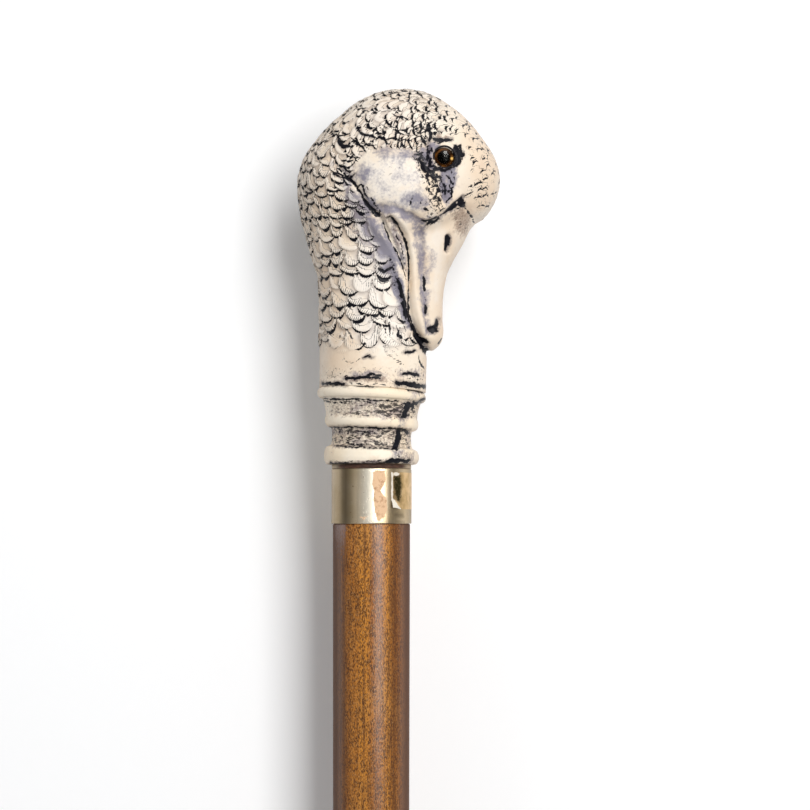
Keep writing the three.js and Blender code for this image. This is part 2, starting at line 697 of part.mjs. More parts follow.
function ferruleGeometry() {
  const boreFoot = shaftRadiusAt(shaftFootZ) + fitGap;
  const boreMouth = shaftRadiusAt(ferruleHeight) + fitGap;
  const grooveInner = ferruleTreadRadius - ferruleTreadEdge - treadLandWidth - treadGrooveWidth;
  const grooveOuter = grooveInner + treadGrooveWidth;
  const wallAt = (z) => ferruleWaistRadius + (ferruleMouthRadius - ferruleWaistRadius)
    * clampUnit((z - ferruleFlare) / (ferruleHeight - ferruleFlare));
  const outside = [[0, 0], [grooveInner - treadLandWidth - treadGrooveWidth, 0],
    [grooveInner - treadLandWidth - treadGrooveWidth, treadGrooveDepth],
    [grooveInner - treadLandWidth, treadGrooveDepth], [grooveInner - treadLandWidth, 0],
    [grooveInner, 0], [grooveInner, treadGrooveDepth], [grooveOuter, treadGrooveDepth], [grooveOuter, 0],
    [ferruleTreadRadius - ferruleTreadEdge, 0], [ferruleTreadRadius, ferruleTreadEdge],
    [ferruleTreadRadius, ferruleTreadEdge * 2], [ferruleWaistRadius, ferruleFlare]];
  for (let rib = 0; rib < ribCount; rib += 1) {
    const ribZ = ferruleRibStart + rib * ferruleRibStep;
    outside.push([wallAt(ribZ - ferruleRibRadius), ribZ - ferruleRibRadius]);
    outside.push([wallAt(ribZ) + ferruleRibRadius, ribZ]);
    outside.push([wallAt(ribZ + ferruleRibRadius), ribZ + ferruleRibRadius]);
  }
  outside.push([ferruleMouthRadius, ferruleHeight - ferruleRibRadius]);
  outside.push([ferruleMouthRadius - ferruleRibRadius, ferruleHeight]);
  outside.push([boreMouth, ferruleHeight], [boreFoot, shaftFootZ], [boreFoot, ferruleFloor], [0, ferruleFloor]);
  return turned(outside, turnedSegments);
}

function discGeometry() {
  return turnedRing([[discBoreRadius, ferruleFloor], [discRadius, ferruleFloor],
    [discRadius, ferruleFloor + discThickness], [discBoreRadius, ferruleFloor + discThickness]], turnedSegments);
}

const materials = {
  resin: new THREE.MeshStandardMaterial({ color: '#e8dcc6', roughness: 0.4, name: 'resin' }),
  glass: new THREE.MeshStandardMaterial({ color: '#d9cdb8', roughness: 0.05, name: 'eye_glass' }),
  iris: new THREE.MeshStandardMaterial({ color: '#6a3a12', roughness: 0.4, name: 'iris_paint' }),
  steel: new THREE.MeshStandardMaterial({ color: '#9a9c9f', roughness: 0.35, metalness: 1, name: 'steel' }),
  fibre: new THREE.MeshStandardMaterial({ color: '#2b1a12', roughness: 0.8, name: 'seat_fibre' }),
  brass: new THREE.MeshStandardMaterial({ color: '#c8b384', roughness: 0.3, metalness: 1, name: 'brass' }),
  foil: new THREE.MeshStandardMaterial({ color: '#c9a468', roughness: 0.3, metalness: 1, name: 'foil' }),
  wood: new THREE.MeshStandardMaterial({ color: '#8a5426', roughness: 0.45, name: 'wood' }),
  rubber: new THREE.MeshStandardMaterial({ color: '#1c1b1a', roughness: 0.85, name: 'rubber' }),
};

const stick = new THREE.Group();
stick.name = 'walking_stick';

function addPiece(name, geometry, material) {
  geometry.computeVertexNormals();
  const piece = new THREE.Mesh(geometry, material);
  piece.name = name;
  stick.add(piece);
}

addPiece('handle', handleGeometry(), materials.resin);
addPiece('eye_iris_left', irisGeometry(-1), materials.iris);
addPiece('eye_iris_right', irisGeometry(1), materials.iris);
addPiece('eye_lens_left', lensGeometry(-1), materials.glass);
addPiece('eye_lens_right', lensGeometry(1), materials.glass);
addPiece('handle_stud', studGeometry(), materials.steel);
addPiece('seat_washer', seatGeometry(), materials.fibre);
addPiece('collar', collarGeometry(), materials.brass);
addPiece('collar_label', labelGeometry(), materials.foil);
addPiece('shaft_insert', insertGeometry(), materials.brass);
addPiece('shaft', shaftGeometry(), materials.wood);
addPiece('ferrule', ferruleGeometry(), materials.rubber);
addPiece('ferrule_disc', discGeometry(), materials.steel);

export default stick;
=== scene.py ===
# Walking stick with a cast duck head handle, glass eyes, brass collar and a varnished wooden shaft.
# Metres, +Z up the shaft, the bill points along +X, the camera looks along +Y.
import math

import bmesh
import bpy
import numpy as np
from mathutils import Matrix, Vector, noise
from mathutils.kdtree import KDTree


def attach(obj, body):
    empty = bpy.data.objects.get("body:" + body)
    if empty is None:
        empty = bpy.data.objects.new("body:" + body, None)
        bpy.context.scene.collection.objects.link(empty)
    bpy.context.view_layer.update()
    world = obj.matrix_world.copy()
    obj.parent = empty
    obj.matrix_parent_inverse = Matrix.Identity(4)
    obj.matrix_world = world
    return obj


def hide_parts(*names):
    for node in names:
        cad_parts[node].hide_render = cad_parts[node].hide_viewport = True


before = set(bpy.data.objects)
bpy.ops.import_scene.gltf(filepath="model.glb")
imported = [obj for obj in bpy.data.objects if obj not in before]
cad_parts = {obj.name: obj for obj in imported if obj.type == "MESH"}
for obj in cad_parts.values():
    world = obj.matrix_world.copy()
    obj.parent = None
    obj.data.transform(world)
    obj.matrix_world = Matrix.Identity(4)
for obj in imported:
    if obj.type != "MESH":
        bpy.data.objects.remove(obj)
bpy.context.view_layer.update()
print("frame loaded")

# The camera stands level with the foot of the collar and looks up a little
view = {"distance": 0.480, "eyeHeight": 0.80685, "sideways": 0.0087, "aimHeight": 0.03085,
        "focal": 1846.0, "frame": 810.0, "sensor": 36.0}
viewPitch = math.atan2(view["aimHeight"], view["distance"])


def makeCamera():
    data = bpy.data.cameras.new("camera")
    data.sensor_width = view["sensor"]
    data.lens = view["sensor"] * view["focal"] / view["frame"]
    data.clip_start, data.clip_end = 0.01, 20
    camera = bpy.data.objects.new("camera", data)
    bpy.context.scene.collection.objects.link(camera)
    camera.location = (view["sideways"], -view["distance"], view["eyeHeight"])
    camera.rotation_euler = (math.pi / 2 + viewPitch, 0, 0)
    bpy.context.scene.camera = camera


makeCamera()
bpy.context.scene.view_settings.view_transform = "Standard"


# Where each point shows in the picture, in picture points, with the far flank folded onto the near one
def picturePlace(points):
    across = points[:, 0] - view["sideways"]
    away = view["distance"] - np.abs(points[:, 1])
    up = points[:, 2] - view["eyeHeight"]
    depth = away * math.cos(viewPitch) + up * math.sin(viewPitch)
    rise = up * math.cos(viewPitch) - away * math.sin(viewPitch)
    half = view["frame"] / 2
    return np.stack([half + across / depth * view["focal"], half - rise / depth * view["focal"]], axis=1)


def easeBetween(low, high, value):
    share = np.clip((value - low) / (high - low), 0, 1)
    return share * share * (3 - 2 * share)


# Distance of picture places from a line, and how far along the line each one is, from 0 to 1
def nearLine(places, line):
    line = np.array(line, float)
    lengths = np.hypot(*np.diff(line, axis=0).T)
    starts = np.concatenate([[0], np.cumsum(lengths)])
    nearest = np.full(len(places), 1e9)
    along = np.zeros(len(places))
    for index in range(len(line) - 1):
        run = line[index + 1] - line[index]
        share = np.clip(((places - line[index]) @ run) / max(run @ run, 1e-9), 0, 1)
        away = np.hypot(*(places - line[index] - share[:, None] * run).T)
        closer = away < nearest
        nearest[closer] = away[closer]
        along[closer] = (starts[index] + share[closer] * lengths[index]) / starts[-1]
    return nearest, along


# Distance inside a closed outline, negative outside it
def insideOutline(places, outline):
    closed = list(outline) + [outline[0]]
    away, _ = nearLine(places, closed)
    inside = np.zeros(len(places), bool)
    for (startX, startY), (endX, endY) in zip(closed[:-1], closed[1:]):
        crosses = (startY > places[:, 1]) != (endY > places[:, 1])
        slope = (endX - startX) / (endY - startY) if endY != startY else 0
        inside ^= crosses & (places[:, 0] < startX + slope * (places[:, 1] - startY))
    return np.where(inside, away, -away)


# Soft noise from -1 to 1, its grain size in metres
def noiseAt(points, grain, shift=0.0):
    return np.array([noise.noise((point[0] / grain + shift, point[1] / grain, point[2] / grain - shift))
                     for point in points.tolist()])


# Head of the duck. Outlines are shares of the span, measured from the shaft axis at the foot of the neck,
# as (up, across) pairs, the skull outline as (across, up)
head = {
    "span": 0.0528, "footZ": 0.842648,
    "neckBack": [(-0.030, -0.257), (0.119, -0.257), (0.277, -0.257), (0.436, -0.257), (0.515, -0.260),
                 (0.594, -0.281), (0.673, -0.305), (0.752, -0.323), (0.832, -0.339), (0.921, -0.335),
                 (1.020, -0.290), (1.120, -0.200)],
    "neckFront": [(-0.030, 0.268), (0.119, 0.271), (0.277, 0.276), (0.436, 0.283), (0.594, 0.302),
                  (0.752, 0.337), (0.921, 0.366), (1.120, 0.300)],
    "neckHalf": [(-0.030, 0.260), (0.119, 0.260), (0.277, 0.260), (0.436, 0.262), (0.594, 0.275),
                 (0.752, 0.292), (0.921, 0.300), (1.120, 0.240)],
    "billFront": [(0.163, 0.277), (0.178, 0.302), (0.198, 0.322), (0.228, 0.340), (0.277, 0.348),
                  (0.396, 0.348), (0.475, 0.354), (0.554, 0.371), (0.634, 0.411), (0.713, 0.455),
                  (0.792, 0.495), (0.896, 0.554), (0.940, 0.560)],
    "billRoot": [(0.156, 0.256), (0.178, 0.247), (0.241, 0.217), (0.296, 0.192), (0.380, 0.173),
                 (0.461, 0.168), (0.536, 0.158), (0.620, 0.135), (0.707, 0.082), (0.780, 0.049),
                 (0.838, 0.035)],
    "billHalf": [(0.163, 0.015), (0.183, 0.079), (0.213, 0.124), (0.257, 0.163), (0.317, 0.196),
                 (0.406, 0.215), (0.490, 0.228), (0.569, 0.242), (0.658, 0.268), (0.752, 0.300),
                 (0.832, 0.324), (0.880, 0.330), (0.940, 0.290)],
    "skull": [(-0.362, 0.990), (-0.340, 1.109), (-0.262, 1.225), (-0.153, 1.337), (-0.020, 1.428),
              (0.139, 1.465), (0.292, 1.440), (0.421, 1.366), (0.545, 1.232), (0.618, 1.109),
              (0.635, 1.000), (0.583, 0.871), (0.475, 0.782), (0.297, 0.685), (0.040, 0.662),
              (-0.208, 0.722), (-0.322, 0.861)],
    "skullCentre": (0.130, 1.060), "skullHalf": 0.385, "skullPower": 2.2,
    "billPower": 2.15, "neckTop": 1.1, "billTop": 0.94, "billBuried": 0.12,
    "cheekCentre": (0.158, 0.975), "cheekDepth": 0.234, "cheekRadii": (0.300, 0.178, 0.262),
    "neckBlend": 0.06, "cheekBlend": 0.022, "billBlend": 0.014,
    "spine": [(0.000, 0.000), (0.450, 0.010), (0.700, 0.040), (0.900, 0.120)],
    "domeBase": 0.900, "foot": -0.020,
    "seam": [(0.000, 0.040), (0.100, 0.165), (0.160, 0.222), (0.195, 0.230), (0.241, 0.217),
             (0.296, 0.192), (0.380, 0.174), (0.461, 0.168), (0.536, 0.158), (0.620, 0.135),
             (0.707, 0.082), (0.776, 0.049), (0.791, 0.010), (0.836, -0.033), (0.887, -0.075),
             (0.948, -0.118), (0.996, -0.146), (1.160, -0.110), (1.400, 0.060), (1.460, 0.120)],
    "columns": 332, "seamColumn": 84, "neckRows": 166, "domeRows": 128,
    "tilt": 2.8, "tiltFoot": 0.822148, "tiltRise": 0.004, "tiltFade": 0.14,
    "uneven": [(0.00007, 0.0035), (0.00003, 0.0011)], "hollow": 0.0007, "hollowShade": 0.45,
}


# Curve through (place, value) pairs that never overshoots them
def curveOf(pairs, tangents=None):
    places, values = np.array(pairs, float).T
    if tangents is None:
        slopes = np.diff(values) / np.diff(places)
        before = np.concatenate([slopes[:1], slopes])
        after = np.concatenate([slopes, slopes[-1:]])
        total = np.where(np.abs(before + after) < 1e-12, 1, before + after)
        tangents = np.where(before * after > 0, 2 * before * after / total, 0)

    def at(place):
        place = np.clip(place, places[0], places[-1])
        index = np.clip(np.searchsorted(places, place, side="right") - 1, 0, len(places) - 2)
        length = places[index + 1] - places[index]
        share = (place - places[index]) / length
        square, cube = share * share, share * share * share
        return (values[index] * (2 * cube - 3 * square + 1)
                + tangents[index] * length * (cube - 2 * square + share)
                + values[index + 1] * (3 * square - 2 * cube)
                + tangents[index + 1] * length * (cube - square))
    return at


# Distance of a closed outline from its centre, by angle
def reachOf(outline, centre):
    polar = sorted((math.atan2(up - centre[1], across - centre[0]),
                    math.hypot(across - centre[0], up - centre[1])) for across, up in outline)
    turn = 2 * math.pi
    pairs = ([(angle - turn, reach) for angle, reach in polar[-3:]] + polar
             + [(angle + turn, reach) for angle, reach in polar[:3]])
    places, values = np.array(pairs).T
    order = np.arange(len(pairs))
    before, after = np.maximum(order - 1, 0), np.minimum(order + 1, len(pairs) - 1)
    return curveOf(pairs, (values[after] - values[before]) / (places[after] - places[before]))


neckBack, neckFront, neckHalf = (curveOf(head[key]) for key in ("neckBack", "neckFront", "neckHalf"))
billFront, billRoot, billHalf = (curveOf(head[key]) for key in ("billFront", "billRoot", "billHalf"))
skullReach = reachOf(head["skull"], head["skullCentre"])
spineAcross, seamAcross = curveOf(head["spine"]), curveOf(head["seam"])


# Lower of two fields with the join rounded over a width
def softLower(first, second, width):
    overlap = np.maximum(width - np.abs(first - second), 0) / width
    return np.minimum(first, second) - overlap * overlap * width / 4


# Below zero inside the head, above zero outside it
def headField(points):
    across, deep, up = points[:, 0], np.abs(points[:, 1]), points[:, 2]
    front, back, half = neckFront(up), neckBack(up), neckHalf(up)
    reach = (front - back) / 2
    neck = (np.hypot((across - (front + back) / 2) / reach, deep / half) - 1) * np.minimum(reach, half)
    neck = np.maximum(neck, up - head["neckTop"])
    fromAcross, fromUp = across - head["skullCentre"][0], up - head["skullCentre"][1]
    side = np.hypot(fromAcross, fromUp) / skullReach(np.arctan2(fromUp, fromAcross))
    power = head["skullPower"]
    skull = ((side ** power + (deep / head["skullHalf"]) ** power) ** (1 / power) - 1) * head["skullHalf"]
    radii = head["cheekRadii"]
    cheek = np.sqrt(((across - head["cheekCentre"][0]) / radii[0]) ** 2
                    + ((deep - head["cheekDepth"]) / radii[1]) ** 2
                    + ((up - head["cheekCentre"][1]) / radii[2]) ** 2)
    cheek = (cheek - 1) * radii[1]
    root = billRoot(up)
    reach = np.where(across > root, billFront(up) - root, head["billBuried"])
    half = billHalf(up)
    power = head["billPower"]
    bill = ((np.abs(across - root) / reach) ** power + (deep / half) ** power) ** (1 / power)
    bill = (bill - 1) * np.minimum(reach, half)
    bill = np.maximum(np.maximum(bill, up - head["billTop"]), head["billFront"][0][0] - up)
    mass = softLower(neck, softLower(skull, cheek, head["cheekBlend"]), head["neckBlend"])
    return softLower(mass, bill, head["billBlend"])


# Outermost point of the head along each ray
def surfaceAlong(starts, directions, reach=0.9, step=0.02):
    starts, directions = np.broadcast_arrays(np.asarray(starts, float), np.asarray(directions, float))
    outside = np.full(len(starts), reach)
    live = np.arange(len(starts))
    for _ in range(int(reach / step)):
        hit = headField(starts[live] + directions[live] * (outside[live] - step)[:, None]) <= 0
        outside[live[~hit]] -= step
        live = live[~hit]
        if not len(live):
            break
    inside = outside - step
    for _ in range(18):
        middle = (inside + outside) / 2
        out = headField(starts + directions * middle[:, None]) > 0
        outside = np.where(out, middle, outside)
        inside = np.where(out, inside, middle)
    return starts + directions * inside[:, None]


def outwardAt(points, probe=0.004):
    steps = probe * np.eye(3)
    slope = np.stack([headField(points + step) - headField(points - step) for step in steps], axis=1)
    return slope / np.linalg.norm(slope, axis=1)[:, None]


# The rings sit slightly out of square with the shaft, and the neck above them straightens
def tiltShift(points):
    rise = easeBetween(head["tiltFoot"], head["tiltFoot"] + head["tiltRise"], points[:, 2])
    fade = 1 - easeBetween(head["footZ"], head["footZ"] + head["tiltFade"] * head["span"], points[:, 2])
    points[:, 2] -= math.tan(math.radians(head["tilt"])) * points[:, 0] * rise * fade
    return points


def toMetres(shares):
    return shares * head["span"] + np.array([0, 0, head["footZ"]])


# Rays of every row, crowded so that one column follows the seam down the cheek and the bill's edge
def headRays():
    half = head["columns"] // 2
    levels = np.linspace(head["foot"], head["domeBase"], head["neckRows"])
    lifts = math.pi / 2 * np.arange(1, head["domeRows"]) / head["domeRows"]
    ups = np.concatenate([levels, np.full(len(lifts), head["domeBase"])])
    lifts = np.concatenate([np.zeros(len(levels)), lifts])
    starts = np.stack([spineAcross(ups), np.zeros(len(ups)), ups], axis=1)

    def rays(angles, lift):
        return np.stack([np.cos(angles) * np.cos(lift), np.sin(angles) * np.cos(lift), np.sin(lift)], axis=-1)

    low, high = np.zeros(len(ups)), np.full(len(ups), math.pi)
    for _ in range(16):
        middle = (low + high) / 2
        places = surfaceAlong(starts, rays(middle, lifts))
        ahead = places[:, 0] > seamAcross(places[:, 2])
        low, high = np.where(ahead, middle, low), np.where(ahead, high, middle)
    seam = (low + high)[:, None] / 2
    turns = np.arange(half + 1)[None, :]
    even = math.pi * turns / half
    ahead = seam * turns / head["seamColumn"]
    behind = seam + (math.pi - seam) * (turns - head["seamColumn"]) / (half - head["seamColumn"])
    seamed = np.where(turns <= head["seamColumn"], ahead, behind)
    angles = even + (seamed - even) * np.clip(ups / 0.18, 0, 1)[:, None]
    directions = rays(angles, lifts[:, None] + 0 * angles)
    return np.repeat(starts, half + 1, axis=0), directions.reshape(-1, 3), len(ups)


rayStarts, rayDirections, headRows = headRays()
flankShares = surfaceAlong(rayStarts, rayDirections)
flankOutward = outwardAt(flankShares)
flankPlaces = toMetres(flankShares)
flankPicture = picturePlace(tiltShift(flankPlaces.copy()))
print("head surface found,", len(flankPlaces), "places")


# Marks on the flank, drawn over the picture as outlines and paths in picture points. The ink's halo
# is as wide as a share of the line plus a number, and lines thinner than haloFrom have none
flankMarks = {
    "inkStyle": {"added": 0.25, "taper": 0.5, "wobble": 0.7, "soft": 2.4,
                 "halo": 0.9, "haloWide": (1.5, 1.2), "haloFrom": 1.0},
    # bare areas without feathers
    "bareFace": [
        (351, 174), (357, 161), (366, 153), (378, 149), (394, 148), (408, 150), (417, 153), (424, 146),
        (430, 139), (438, 135), (450, 136), (460, 141), (467, 151), (471, 165), (469, 185), (463, 200),
        (452, 212), (436, 222), (424, 224), (404, 216), (381, 221), (366, 209), (356, 196), (349, 184),
    ],
    "bareBill": [
        (379, 219), (386, 234), (396, 253), (402, 271), (405, 287), (406, 304), (410, 322), (415, 334),
        (422, 348), (428, 357), (450, 352), (462, 290), (490, 225), (466, 207), (452, 212), (434, 222),
        (404, 216),
    ],
    "bareJaw": [
        (366, 213), (373, 216), (382, 220), (387, 234), (396, 253), (402, 271), (405, 287), (406, 304),
        (410, 322), (414, 334), (410, 332), (404, 318), (400, 300), (396, 287), (391, 268), (387, 256),
        (380, 245), (373, 234),
    ],
    # the crown, where ink lies all round each feather
    "boldCrown": [
        (334, 182), (331, 150), (342, 122), (368, 101), (398, 96), (420, 106), (434, 126), (428, 142),
        (408, 150), (380, 150), (362, 160), (352, 176), (344, 186),
    ],
    # broad bulges: centre, half sizes, height in metres
    "bulges": [
        ((399, 176), (30, 25), 0.0003), ((434, 206), (13, 8), 0.00045), ((369, 200), (8, 10), 0.0003),
        ((436, 336), (8, 13), 0.00045), ((447, 300), (10, 40), 0.0002),
    ],
    # carved and raised lines: path, half width, height in metres
    "carved": [
        ([(338, 170), (345, 177), (352, 184), (358, 192), (366, 204), (374, 214),
          (381, 219)], 2.6, -0.0007),
        ([(334, 160), (345, 172), (357, 190), (368, 206), (381, 219)], 9.0, -0.0006),
        ([(355, 164), (364, 154), (378, 149), (396, 148), (416, 153)], 5.0, -0.0003),
        ([(381, 208), (393, 207), (405, 214), (421, 222)], 4.0, -0.0006),
        ([(424, 223), (436, 222), (444, 216), (451, 209), (458, 203), (464, 198)], 2.6, -0.0007),
        ([(441, 209), (451, 203), (460, 194)], 2.4, 0.0003),
        ([(465, 207), (471, 216), (477, 222)], 2.0, -0.0003),
        ([(384, 222), (387, 233), (393, 246), (399, 256), (404, 270)], 1.7, -0.00035),
        ([(386, 215), (387.5, 222), (392, 232), (398, 243), (403, 255), (406, 268)], 1.9, 0.0006),
        ([(386, 215), (391, 212), (396, 214), (403, 222), (409, 234), (412, 246), (414, 262), (415, 290),
          (418, 312), (424, 332)], 3.4, 0.00075),
        ([(390, 218), (396, 225), (402, 235), (406, 245), (408, 258), (408.6, 276)], 2.2, -0.00085),
        ([(393, 224), (399, 233), (403, 243), (406, 256)], 1.6, 0.0005),
        ([(374, 225), (384, 238), (392, 251), (398, 266), (402, 282), (404, 300),
          (409, 322)], 4.2, 0.00055),
        ([(409, 282), (408.5, 300), (410, 315), (414, 327), (418, 336), (424, 345)], 2.4, -0.00085),
        ([(364, 224), (373, 240), (382, 253), (389, 268), (393, 283), (398, 300),
          (403, 318)], 3.6, -0.00045),
        ([(412, 216), (419, 228), (422, 245), (423, 265), (424, 290), (427, 315),
          (430, 331)], 4.0, -0.00075),
        ([(425, 232), (428, 250), (429, 280), (431, 310)], 3.0, 0.0002),
        ([(448.8, 237), (448.6, 243), (447.6, 250)], 2.5, -0.0013),
        ([(438, 320), (436, 326), (430, 331)], 2.3, -0.0006),
        ([(417, 337), (424, 345), (428, 352)], 3.0, -0.0008),
        ([(420, 141), (432, 136), (446, 137), (458, 144)], 5.0, 0.00055),
        ([(427, 144), (427, 168)], 4.5, -0.00055), ([(431, 146), (431, 158), (434, 167)], 2.0, 0.00035),
        ([(449, 172), (453, 186), (448, 202)], 7.0, -0.00045),
        ([(420, 158), (428, 172), (436, 178)], 4.0, -0.0004), ([(463, 147), (464, 163)], 3.5, -0.0003),
        ([(324, 376), (352, 378), (390, 375), (424, 374)], 1.4, -0.0001),
    ],
    # dark ink left in the hollows: path, half width, strength
    "inkLines": [
        ([(337, 168), (343, 174), (349, 180), (356, 189), (361, 197), (368, 209), (373, 215),
          (379, 218)], 1.0, 1.0),
        ([(355, 189), (361, 184), (364, 193), (370, 201)], 0.9, 0.9),
        ([(363, 198), (369, 209), (374, 216)], 0.8, 0.9), ([(371, 198), (376, 207), (374, 214)], 0.7, 0.85),
        ([(358, 182), (366, 187), (372, 197)], 0.6, 0.7), ([(366, 205), (372, 211), (378, 216)], 1.1, 0.9),
        ([(375, 203), (379, 211), (379, 217)], 0.8, 0.8),
        ([(382, 221), (386.5, 232), (392, 245), (398, 254), (403, 269), (406, 280)], 0.9, 0.85),
        ([(389.5, 217), (393, 220), (397, 225)], 1.5, 1.0),
        ([(397, 225), (403.5, 236), (406.6, 244), (408.5, 258), (409, 270), (408.6, 283)], 0.9, 1.0),
        ([(391, 224), (396, 235), (401, 245), (403.5, 257), (406, 270)], 0.7, 0.75),
        ([(408.6, 283), (408.3, 300), (409.8, 315), (413.5, 326), (418, 336)], 0.8, 0.95),
        ([(411, 326), (416, 334), (421, 341), (425, 350)], 1.6, 1.0),
        ([(423, 223), (433, 220), (443, 215.5), (451, 209.5), (457, 203.5), (463, 197)], 1.5, 1.0),
        ([(426, 226), (434, 223), (441, 220)], 1.2, 0.75),
        ([(465.5, 208), (469, 213), (473, 219), (474, 223)], 0.9, 0.95),
        ([(424.8, 277), (425.4, 284), (425.8, 291)], 0.9, 0.95), ([(427, 305), (427, 314)], 1.1, 0.85),
        ([(425, 264), (425, 277)], 0.5, 0.7), ([(426, 292), (427, 303)], 0.5, 0.6),
        ([(438, 320), (437, 324), (434, 328), (429.5, 329)], 1.7, 1.0),
        ([(430, 330), (433, 332), (436, 328)], 1.4, 1.0), ([(437, 343), (440, 338)], 0.9, 0.8),
        ([(433, 140), (441.4, 140.7), (451.4, 140)], 1.1, 1.0),
        ([(434, 143), (442, 142), (450, 143)], 0.7, 0.8),
        ([(429, 145.7), (428.3, 153), (429, 161), (432, 167)], 1.4, 1.0),
        ([(424, 150), (424, 158)], 0.7, 0.7), ([(432, 148), (431.5, 157), (434, 165)], 0.6, 0.8),
        ([(431, 165), (437, 169), (445, 170), (452, 167)], 1.3, 0.95),
        ([(427, 176), (430, 184), (428, 193)], 1.0, 0.9), ([(434, 178), (438, 188), (436, 198)], 0.9, 0.85),
        ([(440, 176), (444, 186), (446, 196)], 1.1, 0.9), ([(431, 189), (436, 186), (441, 192)], 0.9, 0.9),
        ([(430, 200), (436, 197), (441, 201)], 0.9, 0.85), ([(446, 186), (441, 196), (436, 205)], 0.8, 0.8),
        ([(448, 172), (451, 182), (449, 194)], 0.8, 0.9), ([(453, 170), (455, 181), (452, 192)], 0.7, 0.85),
        ([(455, 186), (452, 196), (446, 203)], 0.8, 0.9), ([(445, 173), (451, 179), (455, 188)], 0.6, 0.8),
        ([(398, 280), (402, 296), (406, 312), (411, 327)], 1.9, 0.95),
        ([(403, 300), (407, 316), (414, 332)], 1.6, 0.9), ([(424, 206), (429, 211), (427, 216)], 0.8, 0.8),
        ([(431, 207), (437, 206), (440, 210)], 0.7, 0.75), ([(433, 213), (440, 211), (446, 207)], 0.6, 0.7),
        ([(423, 196), (421, 203), (425, 210)], 0.7, 0.7),
        ([(409.5, 205), (410.8, 200), (412.4, 195)], 0.9, 0.95),
        ([(414, 154), (420, 154), (425, 159)], 1.2, 0.9), ([(412, 148), (418, 151), (424, 155)], 0.9, 0.8),
        ([(410.7, 115), (412.9, 125), (417, 134)], 0.6, 0.9),
        ([(417.9, 116), (421.4, 126), (427, 133)], 0.8, 1.0),
        ([(415.7, 126), (420, 136), (426, 140)], 0.8, 1.0),
        ([(423.5, 117), (426, 124), (429, 130)], 0.7, 1.0),
        ([(431, 122), (429, 127), (430, 131)], 0.8, 0.9), ([(436, 121), (433, 127), (430, 132)], 0.7, 0.85),
        ([(421, 141), (425, 143), (428, 146)], 1.2, 0.95), ([(427, 130), (430, 135), (429, 141)], 1.6, 1.0),
        ([(374, 139.5), (380, 137), (386, 139.5), (393, 137.5), (399, 141), (405, 139),
          (411, 141)], 0.8, 1.0),
        ([(354, 143), (364, 144.5), (377, 145.5)], 0.7, 0.9),
        ([(380, 124), (386, 127.5), (391, 126), (398, 131), (404, 130.5), (411, 136)], 0.8, 1.0),
        ([(389, 114), (400, 117), (409, 120)], 0.7, 0.9), ([(377, 126), (386, 133), (380, 136)], 0.8, 0.95),
        ([(357, 126), (361, 134), (371, 137)], 1.1, 1.0),
        ([(359, 119), (363, 111.5), (374, 110)], 0.8, 0.9),
        ([(333, 134), (340, 137), (348.6, 134)], 0.9, 0.9),
        ([(338.6, 140), (343, 146), (349, 146.5)], 1.8, 1.0),
        ([(340, 160), (347, 161.4), (353, 160)], 0.8, 0.9),
        ([(341, 164), (348.6, 168.6), (354.3, 161.4)], 0.9, 0.95),
        ([(334, 174), (341, 177), (348.6, 178.6), (354, 173)], 1.1, 0.95),
        ([(345.7, 178.6), (351, 181.4), (357, 187)], 0.9, 1.0),
        ([(387, 146), (394, 144.5), (403, 146), (410, 149)], 0.5, 0.75),
        ([(356, 152), (364, 150), (371, 152)], 0.5, 0.7),
        ([(378, 268), (384, 271.5), (391, 268)], 1.5, 1.0),
        ([(389, 256), (393, 266), (396, 276)], 1.5, 0.55),
        ([(396, 276), (399, 290), (402, 303)], 1.3, 0.62), ([(402, 303), (406, 318), (411, 329)], 1.1, 0.8),
        ([(328, 376.5), (345, 376), (356, 375)], 0.4, 0.75),
        ([(344, 378.5), (356, 378), (368, 377), (380, 378)], 1.5, 0.8),
        ([(362, 374.5), (374, 374), (384, 376)], 1.0, 0.8),
        ([(402, 374.5), (409, 373), (418, 375.5)], 1.5, 0.95),
        ([(404, 378), (414, 379), (425, 379)], 0.6, 0.7),
        ([(322, 383.5), (334, 383.5), (345, 384)], 1.5, 0.95),
        ([(356, 383), (366, 386), (378, 384), (386, 385)], 0.8, 0.85),
        ([(397, 383), (410, 384), (427, 387)], 2.2, 1.0), ([(418, 354), (420, 362), (424, 369)], 0.9, 0.9),
        ([(404, 352), (410, 353), (415, 350)], 1.2, 0.95),
        ([(384, 342), (386, 352), (394, 359), (402, 362)], 0.7, 0.9), ([(396, 363), (404, 364)], 0.6, 0.8),
        ([(388, 341), (391, 350), (399, 356)], 0.5, 0.75),
        ([(393, 341), (397, 349), (404, 353)], 0.5, 0.75), ([(398, 340), (403, 347), (408, 349)], 0.5, 0.7),
        ([(385, 345), (392, 341), (401, 339)], 0.5, 0.75),
        ([(342, 355), (346, 361), (356, 363), (360, 358)], 0.6, 0.8),
        ([(363, 358), (368, 356), (373, 358)], 1.2, 0.95), ([(366, 341), (363, 348), (356, 350)], 1.0, 0.9),
        ([(343, 327), (350, 333), (354, 341)], 0.8, 0.9), ([(322, 337), (330, 332), (336, 338)], 0.6, 0.75),
        ([(329, 347), (337, 341), (341, 333)], 0.5, 0.75), ([(333, 351), (341, 344), (346, 336)], 0.5, 0.7),
        ([(324, 343), (331, 338)], 0.5, 0.7), ([(386, 320), (386, 338)], 0.6, 0.85),
        ([(389, 322), (390, 337)], 0.6, 0.85), ([(392.5, 322), (393.5, 336)], 0.5, 0.8),
        ([(396, 324), (398, 335), (405, 341), (410, 338)], 0.8, 0.95), ([(399, 326), (403, 336)], 0.5, 0.8),
        ([(403, 325), (407, 334)], 0.5, 0.8), ([(380, 345), (390, 347)], 0.5, 0.6),
    ],
    # inked patches: outline and how ragged the border is
    "inkPatches": [
